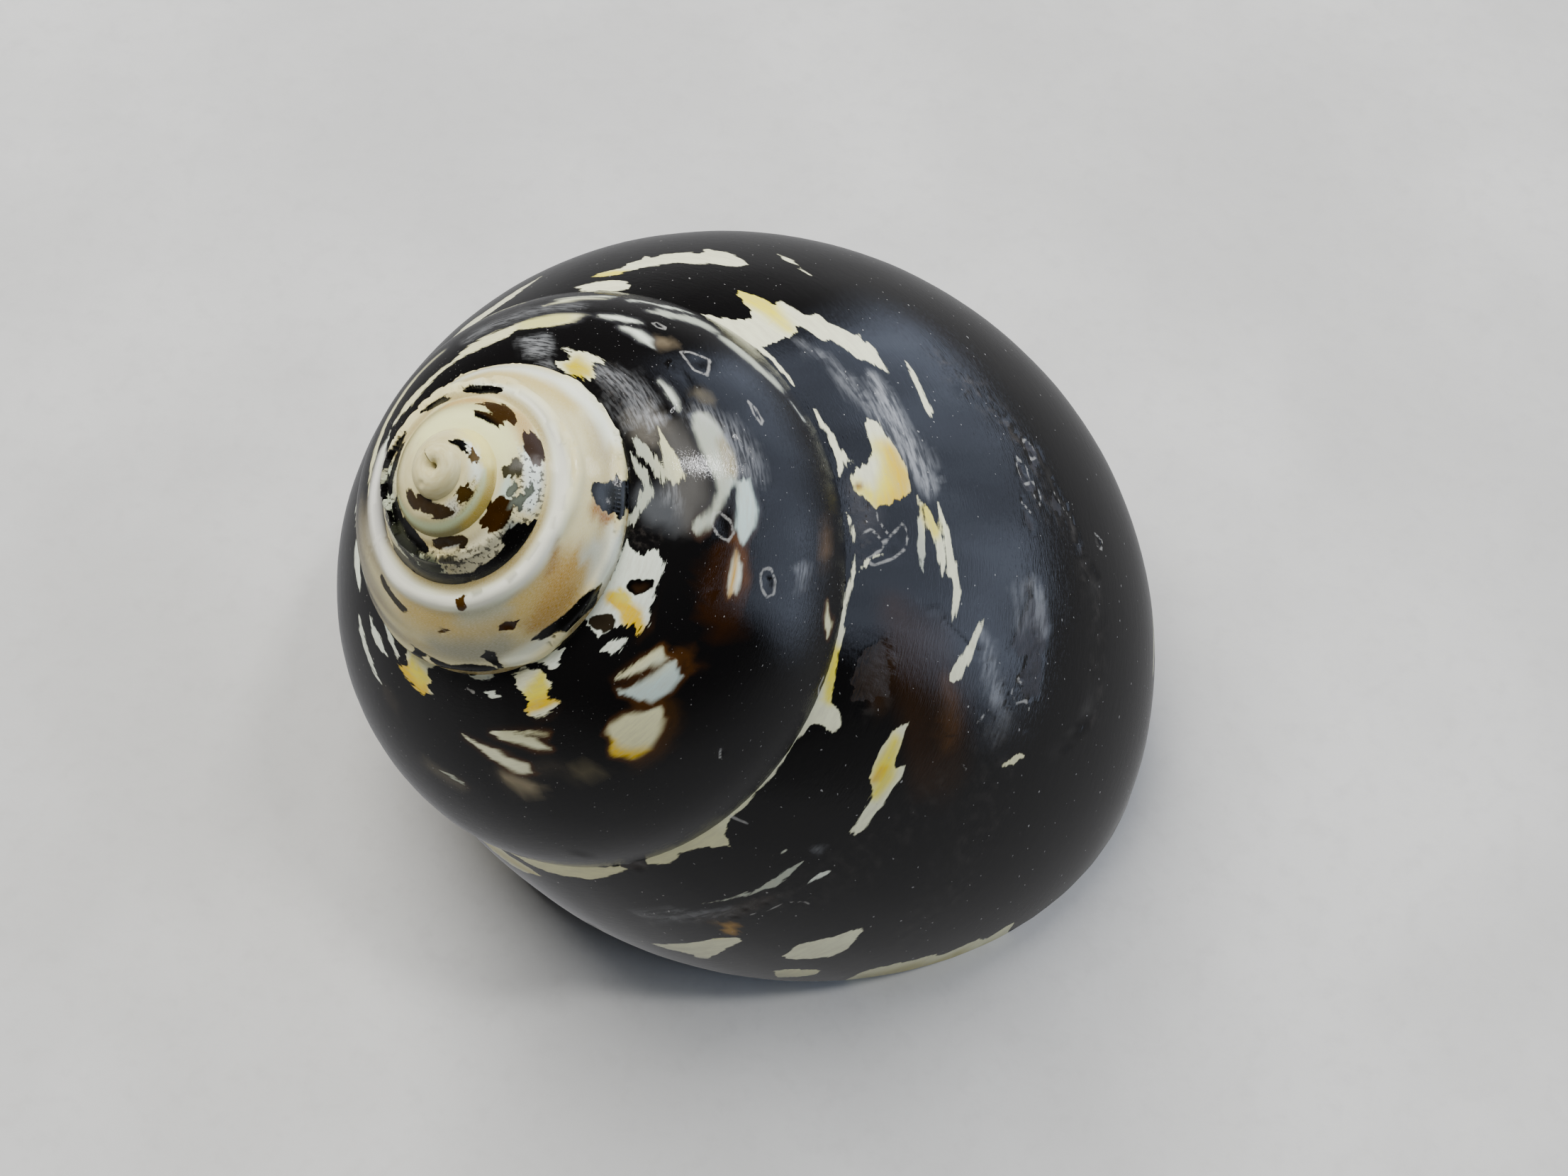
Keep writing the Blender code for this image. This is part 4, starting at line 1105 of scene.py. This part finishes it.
def add_layer(mesh, name, at_corners):
    """Store values, or colours, at the corners of the faces."""
    if at_corners.ndim == 1:
        layer = mesh.attributes.new(name, 'FLOAT', 'CORNER')
        layer.data.foreach_set("value", at_corners.astype(np.float32))
    else:
        layer = mesh.attributes.new(name, 'FLOAT_COLOR', 'CORNER')
        full = np.concatenate([at_corners, np.ones((len(at_corners), 1))], 1)
        layer.data.foreach_set("color", full.ravel().astype(np.float32))


def make_piece():
    points, corners, where, kind, turn, across, region, normals = build_shell()
    faces = where[corners]
    _, same, uses = np.unique(np.sort(faces, 1), axis=0, return_inverse=True, return_counts=True)
    flat = (faces[:, 0] == faces[:, 1]) | (faces[:, 1] == faces[:, 2]) | (faces[:, 2] == faces[:, 0])
    keep = ~flat & (uses[same.ravel()] == 1)
    corners, region, faces = corners[keep], region[keep], faces[keep]
    mesh = bpy.data.meshes.new("shell_fine")
    mesh.vertices.add(len(points))
    mesh.vertices.foreach_set("co", points.ravel().astype(np.float32))
    mesh.loops.add(faces.size)
    mesh.loops.foreach_set("vertex_index", faces.ravel().astype(np.int32))
    mesh.polygons.add(len(faces))
    mesh.polygons.foreach_set("loop_start", (np.arange(len(faces)) * 3).astype(np.int32))
    mesh.polygons.foreach_set("material_index", SLOT_OF[region].astype(np.int32))
    mesh.update(calc_edges=True)
    skin = kind == OUTSIDE
    made = fields(turn[skin], across[skin])
    made["turn"], made["across"] = turn[skin], across[skin]
    for name, values in made.items():
        whole = np.zeros((len(where), *values.shape[1:]))
        whole[skin] = values
        add_layer(mesh, name, whole[corners.ravel()])
    mouth = np.zeros(len(points))
    mouth[where[kind == INSIDE]] = 1.0
    add_layer(mesh, "mouth", round_the_mouth(faces, region, mouth)[faces.ravel()])
    mesh.normals_split_custom_set(normals[corners.ravel()].tolist())
    return add_object("shell_fine", mesh)


# ---------------------------------------------------------------- materials
SHELL_IOR = 1.53


class Graph:
    """Small helper for node trees."""

    def __init__(self, tree):
        self.tree = tree
        tree.nodes.clear()

    def node(self, kind, sockets=(), **settings):
        made = self.tree.nodes.new(kind)
        for key, value in settings.items():
            setattr(made, key, value)
        for key, value in dict(sockets).items():
            self.put(value, made.inputs[key])
        return made

    def put(self, value, socket):
        if isinstance(value, bpy.types.NodeSocket):
            self.tree.links.new(value, socket)
        elif isinstance(value, tuple) and len(value) == 3 and socket.type == 'RGBA':
            socket.default_value = (*value, 1.0)
        else:
            socket.default_value = value

    def attribute(self, name, output="Fac"):
        return self.node('ShaderNodeAttribute', attribute_name=name).outputs[output]

    def position(self, output="Object"):
        return self.node('ShaderNodeTexCoord').outputs[output]

    def math(self, operation, *values):
        return self.node('ShaderNodeMath', enumerate(values), operation=operation).outputs[0]

    def plus(self, one, two):
        return self.math('ADD', one, two)

    def times(self, one, two):
        return self.math('MULTIPLY', one, two)

    def about(self, value, middle, size):
        """How far a value lies over its middle, times a size."""
        return self.times(self.math('SUBTRACT', value, middle), size)

    def ramp(self, value, low, high, to_low=0.0, to_high=1.0):
        return self.node('ShaderNodeMapRange', {"Value": value, "From Min": low, "From Max": high,
                                                "To Min": to_low, "To Max": to_high},
                         interpolation_type='SMOOTHSTEP').outputs[0]

    def mix(self, share, one, two):
        """The second colour over the first; the node keeps its colour sockets at 6 and 7."""
        return self.node('ShaderNodeMix', {0: share, 6: one, 7: two}, data_type='RGBA').outputs[2]

    def noise(self, vector, scale, detail=2.0, roughness=0.5):
        return self.node('ShaderNodeTexNoise', {"Vector": vector, "Scale": scale, "Detail": detail,
                                                "Roughness": roughness}).outputs[0]

    def bump(self, height, strength, distance, **more):
        return self.node('ShaderNodeBump', {"Strength": strength, "Distance": distance, "Height": height,
                                            **more}).outputs[0]

    def surface(self, colour, roughness, **more):
        shader = self.node('ShaderNodeBsdfPrincipled', {"Base Color": colour, "Roughness": roughness, **more})
        self.node('ShaderNodeOutputMaterial', {"Surface": shader.outputs[0]})


def new_material(name):
    material = bpy.data.materials.new(name)
    material.use_nodes = True
    return material, Graph(material.node_tree)


def skin_material():
    material, g = new_material("polished_shell")
    turn, across = g.attribute("turn"), g.attribute("across")

    def along_coil(turn_scale, across_scale, third, detail, roughness=0.5):
        """A noise that follows the coil."""
        vector = g.node('ShaderNodeCombineXYZ', {0: g.times(turn, turn_scale),
                                                 1: g.times(across, across_scale), 2: third})
        return g.noise(vector.outputs[0], 1.0, detail, roughness)

    streaks = along_coil(70, 55, 0.0, 3.0, 0.6)
    fine_streaks = along_coil(260, 210, 3.0, 2.0)
    lumps = along_coil(190, 24, 7.0, 3.0)
    flecks = along_coil(130, 12, 5.0, 3.0, 0.6)
    specks = along_coil(420, 72, 9.0, 1.0)
    soft, worn, pearl = g.attribute("soft"), g.attribute("worn"), g.attribute("pearl")

    # how much of each kind of mark there is at a place
    fray = g.times(g.about(streaks, 0.55, 1.05), g.math('SUBTRACT', 1.0, soft))
    width = g.plus(g.times(soft, 0.30), 0.08)
    pale = g.ramp(g.math('DIVIDE', g.plus(g.attribute("pale"), fray), width), -1.0, 1.0)
    halo = g.times(soft, g.ramp(g.attribute("pale"), -0.6, -0.05, 0.0, 0.8))
    chip = g.ramp(g.plus(g.attribute("chip"), g.about(lumps, 0.5, 1.6)), -0.05, 0.06)
    fleck = g.times(g.attribute("fleck"), g.ramp(flecks, 0.52, 0.60))
    dark = g.ramp(g.plus(g.attribute("dark"), g.about(lumps, 0.5, 0.25)), -0.06, 0.08)
    line = g.ramp(g.plus(g.attribute("line"), g.about(lumps, 0.55, 0.22)), -0.09, 0.05)
    mist = g.times(g.attribute("mist"), g.ramp(streaks, 0.36, 0.62, 0.15, 1.0))

    colour = g.mix(g.times(pearl, g.ramp(fine_streaks, 0.35, 0.7, 0.0, 0.25)),
                   g.attribute("ground_tone", "Color"), tone(246, 240, 224))
    colour = g.mix(g.times(worn, g.ramp(lumps, 0.45, 0.75, 0.0, 0.22)), colour, tone(120, 112, 104))
    colour = g.mix(g.times(fleck, 0.85), colour, tone(52, 48, 42))
    colour = g.mix(halo, colour, g.mix(g.attribute("amber"), tone(70, 70, 72), tone(96, 58, 18)))
    colour = g.mix(g.times(chip, g.ramp(fine_streaks, 0.35, 0.62, 0.2, 1.0)), colour,
                   g.attribute("chip_tone", "Color"))
    cream = g.mix(g.ramp(streaks, 0.35, 0.7, 0.0, 0.28), g.attribute("pale_tone", "Color"),
                  tone(190, 182, 156))
    colour = g.mix(pale, colour, cream)
    colour = g.mix(g.times(mist, 0.68), colour, tone(196, 198, 200))
    colour = g.mix(dark, colour, g.attribute("deep_tone", "Color"))
    colour = g.mix(g.times(line, 0.42), colour, tone(214, 212, 204))
    colour = g.mix(g.times(g.ramp(specks, 0.745, 0.775), 0.5), colour, tone(190, 188, 184))

    rough = g.plus(g.times(worn, g.ramp(lumps, 0.4, 0.7, 0.02, 0.22)), 0.05)
    for mark, rougher in ((chip, 0.25), (pale, 0.06), (pearl, 0.05)):
        rough = g.plus(rough, g.times(mark, rougher))
    bumps = g.bump(g.plus(fine_streaks, g.times(streaks, 0.8)), 0.35, 0.00004)
    worn_bumps = g.bump(lumps, g.times(worn, 0.8), 0.00012, Normal=bumps)
    g.surface(colour, rough, IOR=1.5, Normal=worn_bumps)
    return material


def pearl_material():
    material, g = new_material("mother_of_pearl")
    place_now = g.position()
    clouds = g.noise(place_now, 130.0, 4.0, 0.6)
    colour = g.mix(g.ramp(clouds, 0.35, 0.65), tone(236, 226, 210), tone(214, 224, 216))
    colour = g.mix(g.ramp(g.noise(place_now, 420.0, 3.0), 0.4, 0.7, 0.0, 0.5), colour, tone(240, 214, 206))
    g.surface(colour, 0.28, IOR=SHELL_IOR, Metallic=0.25, Normal=g.bump(clouds, 0.3, 0.0001),
              **{"Coat Weight": 0.4, "Coat Roughness": 0.12,
                 "Thin Film Thickness": 420.0, "Thin Film IOR": 1.35})
    return material


def rim_material():
    """The cut edge round the mouth; the resting spot under the base is dark."""
    material, g = new_material("cut_lip")
    layers = g.noise(g.position(), 240.0, 3.0)
    cut = g.mix(g.ramp(layers, 0.38, 0.62), tone(222, 212, 186), tone(240, 236, 222))
    g.surface(g.mix(g.attribute("mouth"), tone(20, 18, 17), cut), 0.4, IOR=SHELL_IOR)
    return material


def pillar_material():
    material, g = new_material("ivory_pillar")
    clouds = g.noise(g.position(), 160.0, 3.0)
    colour = g.mix(g.ramp(clouds, 0.35, 0.65), tone(226, 218, 196), tone(244, 240, 228))
    g.surface(colour, 0.3, IOR=SHELL_IOR)
    return material


shell = make_piece()
for material in (skin_material(), pearl_material(), rim_material(), pillar_material()):
    shell.data.materials.append(material)
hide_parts("shell")
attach(shell, "root")

# ---------------------------------------------------------------- floor, light and camera
FLOOR_REACH = 0.9
FLOOR_DROP = 0.00002      # metres under the shell, so that the two flat faces don't coincide
WINDOW_SIDE = (-0.4226, 0.9063, 0.0)       # along the window's width and height, and towards it
WINDOW_TALL = (-0.3830, -0.1786, 0.9063)
WINDOW_TOWARD = (0.8214, 0.3830, 0.4226)
WINDOW_LIGHT = (1.6, 1.85, 2.4)
LENS, SENSOR, CLIP = 49.2, 36.0, 0.01
CAMERA_FROM_TIP = (0.8766, -2.2689, 4.4823)     # in the coil's units
CAMERA_AXES = ((0.99159, 0.11757, 0.05408), (-0.12941, 0.90086, 0.41436), (0.0, -0.41788, 0.90850))


def make_floor():
    material, g = new_material("pale_floor")
    place_now = g.position()
    clouds = g.noise(place_now, 26.0, 4.0, 0.55)
    grain = g.noise(place_now, 420.0, 3.0, 0.6)
    colour = g.mix(g.ramp(clouds, 0.35, 0.68), tone(206, 205, 201), tone(222, 221, 217))
    colour = g.mix(g.ramp(grain, 0.45, 0.75, 0.0, 0.25), colour, tone(190, 188, 184))
    g.surface(colour, 0.75, Normal=g.bump(grain, 0.25, 0.0002))
    corners = [(x * FLOOR_REACH, y * FLOOR_REACH, 0) for x, y in ((-1, -1), (1, -1), (1, 1), (-1, 1))]
    floor = add_mesh("floor", corners, [(0, 1, 2, 3)], material)
    floor.location.z = -FLOOR_DROP
    floor.visible_glossy = False


def make_world():
    """A dark room with a broad cool window low on the right, mirrored by the polished shell."""
    world = bpy.data.worlds.new("studio")
    bpy.context.scene.world = world
    world.use_nodes = True
    g = Graph(world.node_tree)
    toward = g.position("Generated")
    up = g.node('ShaderNodeSeparateXYZ', {0: toward}).outputs[2]

    def along(direction):
        return g.node('ShaderNodeVectorMath', {0: toward, 1: direction},
                      operation='DOT_PRODUCT').outputs["Value"]

    side, tall = (g.math('ABSOLUTE', along(direction)) for direction in (WINDOW_SIDE, WINDOW_TALL))
    front = g.ramp(along(WINDOW_TOWARD), 0.0, 0.1)
    window = g.times(g.times(g.ramp(side, 0.80, 0.62), g.ramp(tall, 0.50, 0.38)), front)
    clouds = g.ramp(g.noise(toward, 3.2, 4.0, 0.6), 0.3, 0.7, 0.45, 1.0)
    colour = g.mix(g.ramp(up, 0.0, 0.30), (0.15, 0.15, 0.15), (0.03, 0.03, 0.032))
    colour = g.mix(g.ramp(up, 0.0, -0.25), colour, (0.30, 0.30, 0.305))
    colour = g.mix(g.times(window, clouds), colour, WINDOW_LIGHT)
    background = g.node('ShaderNodeBackground', {"Color": colour, "Strength": 1.0})
    g.node('ShaderNodeOutputWorld', {"Surface": background.outputs[0]})


def make_light(name, place_at, aim, size, watts, colour, shown=True):
    data = bpy.data.lights.new(name, 'AREA')
    data.shape = 'RECTANGLE'
    data.size, data.size_y = size
    data.energy = watts
    data.color = colour
    lamp = add_object(name, data)
    lamp.location = place_at
    lamp.rotation_mode = 'QUATERNION'
    lamp.rotation_quaternion = (Vector(aim) - Vector(place_at)).to_track_quat('-Z', 'Y')
    lamp.visible_glossy = shown


def make_camera():
    data = bpy.data.cameras.new("camera")
    data.lens, data.sensor_width, data.clip_start = LENS, SENSOR, CLIP
    camera = add_object("camera", data)
    turned = Matrix(CAMERA_AXES).transposed().to_4x4()
    turned.translation = Vector(TIP) + Vector(CAMERA_FROM_TIP) * UNIT
    camera.matrix_world = turned
    bpy.context.scene.camera = camera


make_floor()
make_world()
make_light("key", (-0.45, 0.55, 0.95), (0, 0, 0.02), (0.9, 0.9), 26.0, (1.0, 0.99, 0.97), False)
make_light("glint", (0.16, 0.10, 0.55), (0, 0, 0.04), (0.05, 0.07), 0.9, (1.0, 1.0, 1.0))
make_camera()
